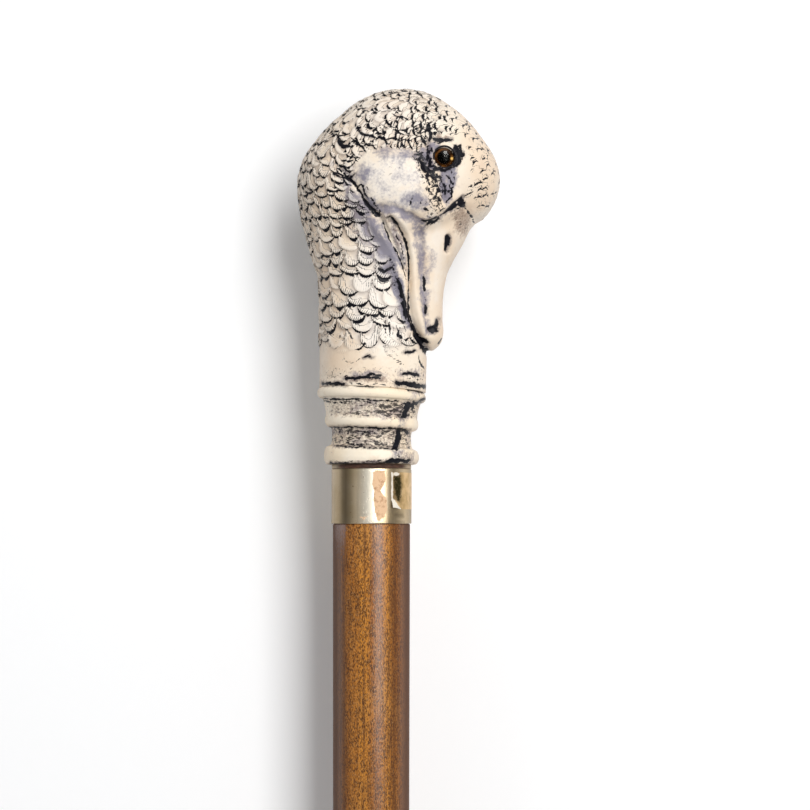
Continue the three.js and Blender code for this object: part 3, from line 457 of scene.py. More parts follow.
        ([(457, 206), (461, 200), (464, 197.5), (466, 204), (465.5, 209), (461, 207)], 1.0),
        ([(417, 337), (427, 338), (430, 342), (425, 346), (432, 352), (428, 356), (421, 350),
          (416, 341)], 1.5),
        ([(417, 156), (424, 158), (428, 164), (433, 169), (438, 171), (440, 176), (436, 182), (430, 178),
          (424, 181), (425, 173), (419, 168), (420, 162)], 2.2),
        ([(452, 144), (458, 145), (463, 147), (466, 152), (465.5, 157), (461, 162), (459, 167),
          (454, 168), (452, 164)], 2.0),
        ([(446, 236.2), (449.5, 235.0), (451.6, 238), (451.4, 243), (450, 247), (449, 251),
          (447.4, 252.4), (445.6, 249), (444.8, 243.5), (445, 239)], 0.3),
    ],
    # broken flecks of ink, then a bluish grey wash that is partly painted shade, brown washes, painted light
    # that whitens the skin where the lamp falls and painted shade that warms it toward the outline: outline,
    # softness of the border, strength
    "flecks": [
        ([(420, 170), (428, 172), (442, 176), (447, 190), (440, 208), (428, 212), (423, 190)], 2, 0.55),
        ([(408, 116), (426, 114), (434, 130), (430, 146), (414, 146)], 2, 0.25),
        ([(392, 258), (401, 276), (404, 300), (397, 306), (388, 280)], 2, 0.3),
        ([(424, 203), (440, 199), (448, 205), (436, 219), (424, 221)], 2, 0.42),
        ([(451, 210), (464, 207), (472, 222), (468, 234), (456, 232)], 2, 0.26),
        ([(324, 400), (324, 366), (426, 366), (428, 388)], 2, 0.2),
        ([(366, 164), (384, 156), (404, 162), (408, 178), (396, 186), (376, 180)], 2, 0.16),
        ([(412, 154), (426, 152), (432, 170), (444, 176), (440, 186), (424, 186), (414, 168)], 2, 0.6),
    ],
    "greyWashAndShade": [
        ([(354, 170), (370, 157), (396, 152), (424, 158), (428, 180), (424, 206), (404, 212), (374, 208),
          (358, 190)], 8, 0.33),
        ([(372, 152), (384, 144), (400, 143), (420, 150), (430, 165), (424, 168), (412, 160), (396, 158),
          (380, 162)], 4, 0.55),
        ([(352, 176), (360, 168), (366, 176), (368, 190), (378, 202), (396, 208), (412, 214), (404, 217),
          (381, 216), (366, 205)], 4, 0.45),
        ([(360, 190), (378, 203), (396, 206), (410, 212), (424, 219), (426, 228), (414, 226), (398, 214),
          (384, 213), (372, 212)], 3, 0.85),
        ([(402, 198), (416, 188), (430, 200), (426, 214), (410, 210)], 6, 0.66),
        ([(378, 192), (396, 200), (412, 198), (420, 210), (400, 210), (380, 204)], 5, 0.44),
        ([(358, 166), (366, 160), (370, 176), (366, 190), (359, 184)], 4, 0.6),
        ([(338, 176), (350, 184), (372, 214), (384, 236), (396, 262), (404, 300), (412, 330), (404, 322),
          (394, 290), (380, 262), (362, 236), (346, 200)], 4, 0.95),
        ([(350, 214), (364, 222), (386, 256), (396, 284), (384, 280), (366, 256), (352, 236)], 6, 0.6),
        ([(386, 262), (394, 262), (402, 284), (408, 318), (404, 322), (396, 300), (388, 280)], 2, 1.0),
        ([(416, 222), (424, 228), (426, 262), (427, 300), (430, 334), (426, 334), (420, 300), (418, 262),
          (413, 234)], 3, 0.72),
        ([(396, 211), (410, 213), (423, 222), (424, 234), (418, 236), (408, 222)], 3, 0.75),
        ([(428, 246), (435, 248), (436, 262), (431, 276), (428, 266)], 3.0, 0.42),
        ([(424, 262), (431, 272), (429, 300), (426, 304)], 2.5, 0.45),
        ([(391, 222), (399, 232), (406, 250), (408, 274), (405, 272), (398, 250), (391, 234)], 1.5, 0.62),
        ([(381, 222), (384, 228), (396, 251), (404, 270), (402, 272), (391, 252), (382, 234)], 1.2, 0.85),
        ([(441, 170), (456, 166), (457, 184), (452, 200), (446, 206), (440, 190)], 2.5, 0.95),
        ([(420, 146), (434, 143), (440, 146), (434, 152), (434, 164), (440, 171), (428, 170),
          (420, 160)], 3, 0.9),
        ([(410, 150), (426, 150), (430, 172), (420, 166)], 4, 0.7),
        ([(350, 371), (366, 370), (384, 371), (388, 378), (348, 379)], 3, 0.5),
        ([(398, 368), (426, 368), (427, 378), (400, 376)], 4, 0.35),
    ],
    "brownWash": [
        ([(451, 212), (460, 208), (470, 216), (466, 236), (455, 232)], 4, 0.8),
        ([(384, 214), (390, 212), (396, 222), (404, 240), (402, 254), (392, 240), (386, 226)], 1.5, 0.45),
        ([(435, 134), (440, 134), (441, 139), (435, 139)], 1.5, 1.0),
        ([(442, 137), (448, 137), (447, 141), (442, 141)], 1.5, 0.9),
        ([(320, 366), (426, 366), (428, 384), (320, 384)], 5, 0.22),
        ([(344, 376), (386, 376), (388, 382), (346, 382)], 2, 0.7),
    ],
    "pale": [
        ([(362, 176), (372, 162), (396, 154), (416, 162), (422, 182), (416, 204), (396, 204),
          (376, 196)], 9, 1.0),
        ([(352, 256), (372, 236), (392, 262), (404, 310), (404, 340), (368, 350), (348, 310)], 10, 1.0),
        ([(350, 118), (372, 104), (408, 104), (424, 126), (404, 138), (366, 140)], 8, 0.65),
        ([(430, 208), (440, 222), (446, 232), (436, 300), (430, 244)], 5, 0.6),
    ],
    "warmShade": [
        ([(296, 150), (330, 110), (322, 160), (326, 240), (334, 300), (340, 366), (318, 366),
          (300, 240)], 12, 0.9),
        ([(462, 120), (500, 160), (500, 206), (470, 216), (452, 200), (468, 170)], 9, 0.75),
        ([(448, 236), (462, 236), (446, 290), (442, 340), (434, 330), (440, 280)], 6, 0.65),
    ],
}

# Rows of feathers run round a point under the cheek, from the forehead over the crown, then down the neck.
# Sizes are shares of the head span, rises and ink widths are metres, and fades are picture points. Bold and
# thick ink are widest, least share, share by luck, power of the fade toward the sides
feathers = {
    "pole": (0.262, 0.800), "neckCentre": [(0.0, 0.0), (0.45, 0.02), (0.80, 0.262)],
    "neckRow": [(0.02, 0.068), (0.45, 0.064), (0.80, 0.052)],
    "neckWide": [(0.02, 0.094), (0.50, 0.088), (0.80, 0.066)],
    "headRow": [(0.0, 0.090), (0.9, 0.090), (1.7, 0.084), (2.2, 0.100), (3.0, 0.105)],
    "headWide": [(0.0, 0.066), (0.9, 0.062), (1.7, 0.054), (2.2, 0.052), (3.0, 0.052)],
    "firstLevel": 0.06, "lastTurn": 3.05, "turnRadius": 0.55, "leastRadius": 0.18, "rays": 181, "seed": 11,
    "scatter": 0.22, "lean": 0.30, "sizes": (0.80, 1.26), "slide": 0.34, "lengths": (1.02, 1.42),
    "slant": 0.55, "powers": (1.55, 2.5), "halfWide": 0.58, "middle": 0.09, "straight": 0.45,
    "deep": 0.06, "margin": 0.02, "search": 1.5, "behind": 0.9, "ahead": 0.3,
    "rise": 0.00040, "riseByLuck": (0.75, 0.50), "browSmooth": 0.80,
    "settle": 0.00165, "step": 0.00030, "drop": 0.45,
    "inkThick": (0.00080, 0.60, 0.75, 3), "inkBold": (0.00061, 0.70, 0.60, 8),
    "inkTick": 0.00058, "tickWide": 0.92, "tickLuck": 0.10,
    "inkUneven": (0.90, 0.65, 0.0040), "lowInk": 0.5, "faintLuck": (0.07, 0.35), "faint": 0.2,
    "boldFade": (-7, 4), "bareFade": (1.5, -3.5), "neckFade": (356, 338), "lowNeck": (325, 350),
    "browFade": (436, 456), "browLean": 0.25, "browTop": 120, "browFoot": (222, 205),
}


# Centre, flow, side, outward, half width, length, luck, slant of the barbs and roundness of every feather,
# the ones that lie on top last
def layFeathers():
    luck = np.random.default_rng(feathers["seed"])
    neckCentre, neckRow, neckWide, headRow, headWide = (
        curveOf(feathers[key]) for key in ("neckCentre", "neckRow", "neckWide", "headRow", "headWide"))
    poleAcross, poleUp = feathers["pole"]
    rows = []
    level = feathers["firstLevel"]
    while level < poleUp:
        rows.append((level, None, float(neckRow(level)), float(neckWide(level))))
        level += float(neckRow(level))
    turn = (level - poleUp) / feathers["turnRadius"]
    while turn < feathers["lastTurn"]:
        rows.append((None, turn, float(headRow(turn)), float(headWide(turn))))
        turn += float(headRow(turn))
    found = []
    for number, (level, turn, step, wide) in enumerate(rows):
        angles = np.linspace(0, math.pi if turn is None else math.pi / 2, feathers["rays"])
        if turn is None:
            start = (float(neckCentre(level)), 0, level)
            rays = np.stack([-np.cos(angles), np.sin(angles), 0 * angles], axis=1)
            flow = np.array([0, 0, -1.0])
        else:
            start = (poleAcross, 0, poleUp)
            rays = np.stack([-math.cos(turn) * np.cos(angles), np.sin(angles),
                             math.sin(turn) * np.cos(angles)], axis=1)
            flow = np.array([-math.sin(turn), 0, -math.cos(turn)])
        line = surfaceAlong([start], rays)
        lengths = np.concatenate([[0], np.cumsum(np.linalg.norm(np.diff(line, axis=0), axis=1))])
        reached = wide / 2 if number % 2 else 0.0
        while reached < lengths[-1]:
            drift = wide * luck.uniform(-feathers["scatter"], feathers["scatter"])
            spot = min(reached + drift, lengths[-1])
            centre = np.array([np.interp(spot, lengths, line[:, axis]) for axis in range(3)])
            outward = outwardAt(centre[None, :])[0]
            lean = flow + feathers["lean"] * luck.uniform(-1, 1) * np.cross(outward, flow)
            along = lean - (lean @ outward) * outward
            along /= max(np.linalg.norm(along), 1e-6)
            size = luck.uniform(*feathers["sizes"])
            slide = luck.uniform(-feathers["slide"], feathers["slide"])
            pitch = step
            if turn is not None:
                radius = np.hypot(centre[0] - start[0], centre[2] - start[2])
                pitch = step * max(radius, feathers["leastRadius"])
            length = pitch * luck.uniform(*feathers["lengths"])
            centre = centre + along * pitch * slide
            chance = luck.uniform(0, 1)
            slant = luck.uniform(-feathers["slant"], feathers["slant"])
            power = luck.uniform(*feathers["powers"])
            half = feathers["halfWide"] * wide * size
            for side in ((1, -1) if centre[1] < feathers["middle"] else (1,)):
                flip = np.array([1, side, 1])
                found.append((centre * flip, along * flip, np.cross(outward * flip, along * flip),
                              outward * flip, half, length, chance, slant, power))
                if reached < 0.01:
                    break  # the first of a row sits on the middle line and has no twin
            reached += wide
    return found


# Lays the feathers on the flank in order, so that the upper ones cover the lower ones. Each place gets its
# distance from the feather's edge, its share of the width, the feather's luck and its way across the barbs
def coverWithFeathers(found):
    tree = KDTree(len(flankShares))
    for index, place in enumerate(flankShares.tolist()):
        tree.insert(place, index)
    tree.balance()
    onTop, beside = np.zeros((4, len(flankShares))), np.zeros((4, len(flankShares)))
    onTop[0], beside[0] = -9.0, 9.0
    for centre, along, side, outward, half, length, chance, slant, power in found:
        reach = feathers["search"] * max(half, length) + feathers["margin"]
        near = np.array([index for _, index, _ in tree.find_range(centre.tolist(), reach)])
        if not len(near):
            continue
        away = flankShares[near] - centre
        down, across, off = away @ along, away @ side / half, away @ outward
        cap = length * (1 - feathers["straight"])
        past = np.maximum(down - length * feathers["straight"], 0) / cap
        ring = (np.abs(across) ** power + past ** power) ** (1 / power)
        edge = (ring - 1) * np.where(past > np.abs(across), cap, half)
        level = np.abs(off) < feathers["deep"]
        inside = level & (ring < 1) & (down > -feathers["behind"] * length)
        below = level & (ring >= 1) & (down > feathers["ahead"] * length) & (edge < beside[0, near])
        barb = (across * half + slant * down) * head["span"] * 1000
        facts = np.stack([edge, across, np.full(len(near), chance), barb])
        onTop[:, near[inside]] = facts[:, inside]
        beside[0, near[inside]] = 9.0
        beside[:, near[below]] = facts[:, below]
    edge, side, luck, barb = np.where(beside[0] < -onTop[0], beside, onTop)
    return edge * head["span"], side, luck, barb


featherList = layFeathers()
featherEdge, featherSide, featherLuck, featherBarb = coverWithFeathers(featherList)
print("feathers laid,", len(featherList))


# Where feathers show, where the bold crown is and where the brow is, each from 0 to 1
def featherFades(picture):
    across, down = picture.T
    parts = ("bareFace", "bareBill", "bareJaw")
    bare = np.max([insideOutline(picture, flankMarks[key]) for key in parts], axis=0)
    shown = easeBetween(*feathers["bareFade"], bare) * easeBetween(*feathers["neckFade"], down)
    bold = easeBetween(*feathers["boldFade"], insideOutline(picture, flankMarks["boldCrown"]))
    above = feathers["browTop"] - np.minimum(down, feathers["browTop"])
    brow = easeBetween(*feathers["browFade"], across + feathers["browLean"] * above)
    return shown, bold, brow * easeBetween(*feathers["browFoot"], down)


featherHere, boldHere, browHere = featherFades(flankPicture)


# Heights of the carved forms over the plain surface
def carvedForms(picture):
    heights = np.zeros(len(picture))
    for centre, halfSizes, height in flankMarks["bulges"]:
        apart = np.hypot(*((picture - centre) / halfSizes).T)
        heights += height * np.exp(-apart ** 2.6)
    for line, half, height in flankMarks["carved"]:
        away, _ = nearLine(picture, line)
        heights += height * np.exp(-(away / half) ** 2)
    return heights


# Each feather rises toward its edge and drops behind it
def featherForms():
    least, byLuck = feathers["riseByLuck"]
    rise = feathers["rise"] * (least + byLuck * featherLuck) * featherHere
    rise = rise * (1 - feathers["browSmooth"] * browHere)
    behind = -feathers["drop"] * np.exp(-np.maximum(featherEdge, 0) / feathers["step"])
    return rise * np.where(featherEdge < 0, np.exp(np.minimum(featherEdge, 0) / feathers["settle"]), behind)


# Unevenness of the casting, from (height, grain) pairs in metres
def unevennessAt(places, layers):
    return sum(height * noiseAt(places, grain) for height, grain in layers)


carvedHeight = carvedForms(flankPicture)
flankHeight = carvedHeight + featherForms() + unevennessAt(flankPlaces, head["uneven"])
print("flank carved")


# Soft sideways and downward shift from -1 to 1, which roughens drawn marks
def driftAt(places, grain, shifts):
    return np.stack([noiseAt(places, grain, shift) for shift in shifts], axis=1)


# Strongest of several washes at each place: outline, softness of the border, strength
def washOf(picture, washes, start, end, drift=0.0):
    share = np.zeros(len(picture))
    for outline, soft, strength in washes:
        inside = insideOutline(picture, outline) + soft * drift
        share = np.maximum(share, strength * easeBetween(start * soft, end * soft, inside))
    return share


# Ink along drawn lines and a soft halo of painted shade round it
def inkAlong(picture, lines, style, wobble):
    ink, halo = np.zeros(len(picture)), np.zeros(len(picture))
    for line, half, strength in lines:
        away, along = nearLine(picture, line)
        taper = 1 - style["taper"] + style["taper"] * np.sqrt(np.sin(math.pi * np.clip(along, 0.02, 0.98)))
        width = (half + style["added"]) * taper * (1 + style["wobble"] * wobble)
        ink = np.maximum(ink, strength * np.clip(0.5 + (width - away) / style["soft"], 0, 1))
        if half > style["haloFrom"]:
            reach = style["haloWide"][0] * half + style["haloWide"][1]
            halo = np.maximum(halo, style["halo"] * strength * np.exp(-(away / reach) ** 2))
    return ink, halo


def paintFlank(picture, places):
    wobble, broad = noiseAt(places, 0.0011, 3.1), noiseAt(places, 0.0040, 8.3)
    drift = driftAt(places, 0.0014, (21.0, 33.0))
    steady = easeBetween(-1, 4, insideOutline(picture, flankMarks["bareBill"]))
    drifted = picture + (1.5 - steady)[:, None] * drift
    ink, halo = inkAlong(drifted, flankMarks["inkLines"], flankMarks["inkStyle"], wobble)
    for outline, ragged in flankMarks["inkPatches"]:
        inside = insideOutline(picture + ragged * drift, outline)
        share = np.clip(0.5 + (inside + 0.5 * ragged * wobble) / 2.0, 0, 1)
        ink = np.maximum(ink, (1 - 0.16 * ragged) * share)
        halo = np.maximum(halo, (1 - 0.25 * ragged) * easeBetween(-2.5, 0.5, inside))
    painted = {"ink": ink, "halo": halo, "flecks": washOf(picture, flankMarks["flecks"], -1, 2)}
    for key in ("greyWashAndShade", "brownWash", "pale", "warmShade"):
        painted[key] = washOf(picture, flankMarks[key], -1.3, 1, 0.6 * wobble + 0.6 * broad)
    return painted


# Ink under the feather edges: thick on the nape and neck, all round on the crown, ticks on the forehead
def featherInk():
    side = np.clip(np.abs(featherSide), 0, 1)

    def rounded(widest, least, byLuck, power):
        return widest * (least + byLuck * featherLuck) * (1 - side ** power)

    thick, bold = rounded(*feathers["inkThick"]), rounded(*feathers["inkBold"])
    tick = feathers["inkTick"] * (1 - (side / feathers["tickWide"]) ** 2)
    tick = tick * (featherLuck > feathers["tickLuck"])
    width = thick + (bold - thick) * boldHere
    width = width + (tick - width) * browHere
    usual, uneven, grain = feathers["inkUneven"]
    calm = 1 - feathers["browSmooth"] * browHere
    width = width * (usual + uneven * calm * noiseAt(flankPlaces, grain, 7.7))
    lowNeck = easeBetween(*feathers["lowNeck"], flankPicture[:, 1])
    least, byLow = feathers["faintLuck"]
    faint = np.where(featherLuck < least + byLow * lowNeck, feathers["faint"], 1)
    return np.maximum(width * (1 - feathers["lowInk"] * lowNeck) * faint, 0) * featherHere


# The feather's edge, barbs and ink width are kept in millimetres
flankValues = paintFlank(flankPicture, flankPlaces)
# painted shade: the grey wash deepens with the depth of the carved hollows
hollows = np.clip(-carvedHeight / head["hollow"], 0, 1)
flankValues["greyWashAndShade"] = np.maximum(flankValues["greyWashAndShade"], head["hollowShade"] * hollows)
flankValues.update({"brow": browHere, "bold": boldHere, "featherHere": featherHere,
                    "featherEdge": featherEdge * 1000, "featherLuck": featherLuck,
                    "featherBarb": featherBarb, "featherInk": featherInk() * 1000})
print("flank painted")


def smoothMesh(mesh, angle=180):
    for face in mesh.polygons:
        face.use_smooth = True
    if angle < 180:
        mesh.set_sharp_from_angle(angle=math.radians(angle))


# Keeps one number for each vertex, which a material reads by name
def store(mesh, name, values):
    mesh.attributes.new(name, "FLOAT", "POINT").data.foreach_set("value", np.asarray(values, np.float32))


def vertexPlaces(vertices):
    return np.array([vert.co for vert in vertices])


def moveVertices(shape, places):
    for vert, place in zip(shape.verts, places):
        vert.co = place


def newPiece(name, shape, body, materialUsed, replaced, sharpAngle=180):
    mesh = bpy.data.meshes.new(name)
    shape.to_mesh(mesh)
    shape.free()
    smoothMesh(mesh, sharpAngle)
    piece = bpy.data.objects.new(name, mesh)
    bpy.context.scene.collection.objects.link(piece)
    mesh.materials.append(materialUsed)
    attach(piece, body)
    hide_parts(*replaced)
    return piece


# Eyes: across and up are shares of the head span, turn and lift are degrees, the painted glint and the shine
# are places in the picture, and the rest is metres
eye = {
    "across": 0.354, "up": 1.072, "turn": 9, "lift": 2, "seat": 0.0013, "radius": 0.00268,
    "socket": 0.00285, "sink": 0.00135, "nearDeep": 0.004, "nearWide": 0.007,
    "lidRise": 0.00026, "lidRadius": 0.0034, "lidWide": 0.00045,
    "discGap": 0.0001, "discThick": 0.0004,
    "domeFoot": 0.00055, "domeEdge": 0.00045, "domeRound": 0.00006, "domeRise": 0.0015,
    "rimRadius": 0.00280, "rimThick": 0.00022, "rimSink": 0.00008, "rimTall": 1.3, "rimStretch": 0.99,
    "paintedGlint": (452.0, 158.5), "glintWide": 1.9, "shine": (445.0, 149.8), "shineWide": 4.2,
    "shineLeast": 0.10, "shineMost": 1.9,
    "pupil": (0.001, 0.001, 0.001), "brown": (0.030, 0.012, 0.004), "amber": (0.22, 0.090, 0.020),
    "paintedGlintTone": (0.95, 0.62, 0.20), "border": (0.010, 0.005, 0.003),
    "rimStain": {"ink": 0.75, "halo": 0.95, "greyWashAndShade": 0.9, "brownWash": 0.4, "flecks": 0.6},
}


# Centre of an eye's seat on the skin, and the way it faces
def eyeSeat(side):
    across, deep, up = surfaceAlong([(eye["across"], 0, eye["up"])], [(0, side, 0)])[0]
    turn, lift = math.radians(eye["turn"]), math.radians(eye["lift"])
    outward = Vector((math.sin(turn), side * math.cos(turn), math.sin(lift))).normalized()
    place = Vector(toMetres(np.array([across, deep, up])))
    return place, outward


# A sheet of squares is bent round the head, joined along the front and filled at its two ends
def buildHead(materialUsed):
    columns, half = head["columns"], head["columns"] // 2
    shape = bmesh.new()
    bmesh.ops.create_grid(shape, x_segments=columns, y_segments=headRows - 1, size=1.0)
    mesh = bpy.data.meshes.new("head_sheet")
    shape.to_mesh(mesh)
    places = np.zeros(len(mesh.vertices) * 3)
    mesh.vertices.foreach_get("co", places)
    places = places.reshape(-1, 3)
    column = np.rint((places[:, 0] + 1) / 2 * columns).astype(int) % columns
    row = np.rint((places[:, 1] + 1) / 2 * (headRows - 1)).astype(int)
    turn = np.where(column <= half, column, columns - column)
    side = np.where(column <= half, 1.0, -1.0)
    source = row * (half + 1) + turn
    flank = flankPlaces + flankOutward * flankHeight[:, None]
    skin = flank[source] * np.stack([np.ones(len(side)), side, np.ones(len(side))], axis=1)
    skin[(turn == 0) | (turn == half), 1] = 0
    for flankSide in (-1, 1):
        centre, outward = eyeSeat(flankSide)
        axis = np.array(outward)
        away = skin - np.array(centre)
        above = away @ axis
        flat = away - above[:, None] * axis
        radius = np.linalg.norm(flat, axis=1)
        near = (np.abs(above) < eye["nearDeep"]) & (radius < eye["nearWide"])
        sunk = near & (radius < eye["socket"])
        lid = near & ~sunk
        skin[sunk] -= axis * (above[sunk] + eye["sink"])[:, None]
        lift = eye["lidRise"] * np.exp(-((radius[lid] - eye["lidRadius"]) / eye["lidWide"]) ** 2)
        skin[lid] += axis * lift[:, None]
    skin = tiltShift(skin)
    mesh.vertices.foreach_set("co", skin.ravel())
    for name, value in flankValues.items():
        store(mesh, name, value[source])
    shape.free()
    shape = bmesh.new()
    shape.from_mesh(mesh)
    bpy.data.meshes.remove(mesh)
    bmesh.ops.remove_doubles(shape, verts=shape.verts, dist=1e-7)
    openEdges = [edge for edge in shape.edges if edge.is_boundary]
    bmesh.ops.holes_fill(shape, edges=openEdges, sides=0)
    bmesh.ops.recalc_face_normals(shape, faces=shape.faces)
    return newPiece("head_casting", shape, "handle_body", materialUsed, ["handle"])


# Small helpers for node materials. The first gives the material, its shader, a maker of nodes and the place
def startMaterial(name, **settings):
    material = bpy.data.materials.new(name)
    material.use_nodes = True
    tree = material.node_tree
    shader = tree.nodes["Principled BSDF"]
    for key, value in settings.items():
        shader.inputs[key.replace("_", " ")].default_value = value

    def make(kind, inputs=None, **choices):
        node = tree.nodes.new(kind)
        for key, value in choices.items():
            setattr(node, key, value)
        for key, value in (inputs or {}).items():
            if isinstance(value, bpy.types.NodeSocket):
                tree.links.new(value, node.inputs[key])
            else:
                node.inputs[key].default_value = value
        return node

    return material, shader, make, make("ShaderNodeTexCoord").outputs["Object"]


def feed(node, **sockets):
    for key, value in sockets.items():
        node.id_data.links.new(value, node.inputs[key.replace("_", " ")])


def addBump(make, shader, height, strength, distance):
    bump = make("ShaderNodeBump", {"Height": height, "Strength": strength, "Distance": distance})
    feed(shader, Normal=bump.outputs["Normal"])


# Value eased from one range onto another
def eased(make, value, low, high, toLow=0.0, toHigh=1.0):
    ranges = {"Value": value, "From Min": low, "From Max": high, "To Min": toLow, "To Max": toHigh}
    return make("ShaderNodeMapRange", ranges, interpolation_type="SMOOTHSTEP").outputs["Result"]


def combined(make, operation, *values):
    return make("ShaderNodeMath", dict(enumerate(values)), operation=operation).outputs[0]


def times(make, first, *others):
    for value in others:
        first = combined(make, "MULTIPLY", first, value)
    return first


# Value with a share of another one added
def withShare(make, value, other, share):
    return combined(make, "MULTIPLY_ADD", other, share, value)


def centred(make, value):
    return combined(make, "SUBTRACT", value, 0.5)


def oneLess(make, value):
    return combined(make, "SUBTRACT", 1.0, value)


def stored(make, key):
    return make("ShaderNodeAttribute", attribute_name=key).outputs["Fac"]


# From 0 where a face looks at the camera to 1 where it is seen edge on
def edgeOn(make):
    return make("ShaderNodeLayerWeight", {"Blend": 0.5}).outputs["Facing"]


def mixed(make, share, first, second):
    node = make("ShaderNodeMix", data_type="RGBA")
    for key, value in (("Factor_Float", share), ("A_Color", first), ("B_Color", second)):
        socket = next(s for s in node.inputs if s.identifier == key)
        if isinstance(value, bpy.types.NodeSocket):
            node.id_data.links.new(value, socket)
        else:
            socket.default_value = value if key == "Factor_Float" else (*value, 1)
    return next(s for s in node.outputs if s.identifier == "Result_Color")


def noiseNode(make, place, scale, detail=3.0, rough=0.55, warp=0.0):
    return make("ShaderNodeTexNoise", {"Vector": place, "Scale": scale, "Detail": detail, "Roughness": rough,
                                       "Distortion": warp}).outputs["Fac"]


# Noise drawn out along some of the axes
def stretched(make, place, scales, detail=3.0, rough=0.55, warp=0.0):
    turned = make("ShaderNodeMapping", {"Vector": place, "Scale": scales}).outputs["Vector"]
    return noiseNode(make, turned, 1.0, detail, rough, warp)


resin = {
    "cream": (0.86, 0.71, 0.55), "ivory": (0.90, 0.80, 0.67), "tan": (0.68, 0.48, 0.33),
    "highlightWhite": (0.92, 0.85, 0.77), "ringCream": (0.94, 0.80, 0.61), "ringIvory": (0.95, 0.85, 0.70),
    "rim": (0.42, 0.29, 0.20), "grey": (0.18, 0.175, 0.25), "shade": (0.040, 0.034, 0.060),
    "brown": (0.24, 0.15, 0.11), "ink": (0.004, 0.004, 0.008), "shadeUnder": (0.30, 0.24, 0.22), "gloss": 0.17,
}


# Colour, ink and bump height that the feathers add. Edges and ink widths arrive in millimetres
def inkFeathers(make, colour, dark, spread, blotch, fine):
    edge, luck, thick = stored(make, "featherEdge"), stored(make, "featherLuck"), stored(make, "featherInk")
    across = withShare(make, times(make, luck, 40.0), stored(make, "featherBarb"), 11.0)
    barbs = combined(make, "SINE", across)
    wobbled = withShare(make, withShare(make, edge, spread, 0.42), barbs, 0.05)
    line = times(make, eased(make, combined(make, "SUBTRACT", thick, wobbled), 0.0, 0.10),
                 eased(make, wobbled, -0.10, -0.02), eased(make, thick, 0.08, 0.18))
    # short barb strokes run down to the free edge, none on the forehead or the bold crown
    calm = times(make, stored(make, "featherHere"), oneLess(make, stored(make, "brow")))
    reach = times(make, eased(make, edge, -2.6, -1.2), eased(make, edge, 0.20, 0.0))
    presence = eased(make, withShare(make, blotch, luck, 0.40), 0.53, 0.69)
    strokes = withShare(make, withShare(make, barbs, spread, 3.0), edge, 0.50)
    strokes = times(make, eased(make, strokes, 0.15, 0.60), reach, presence, calm)
    strokes = times(make, strokes, oneLess(make, stored(make, "bold")))
    # painted shadow just below each feather's free edge, and a painted highlight along its crest
    shadeUnder = times(make, eased(make, edge, 1.5, 0.1), eased(make, edge, -0.1, 0.0), calm, 0.45)
    colour = mixed(make, shadeUnder, colour, resin["shadeUnder"])
    crestHighlight = times(make, eased(make, edge, -1.6, -0.4), eased(make, edge, 0.0, -0.1), calm, 0.50)
    colour = mixed(make, crestHighlight, colour, resin["highlightWhite"])
    dark = combined(make, "MAXIMUM", dark, line)
    dark = combined(make, "MAXIMUM", dark, times(make, strokes, 0.86))
    height = withShare(make, times(make, barbs, reach, calm, 0.16), fine, 0.45)
    return colour, dark, height


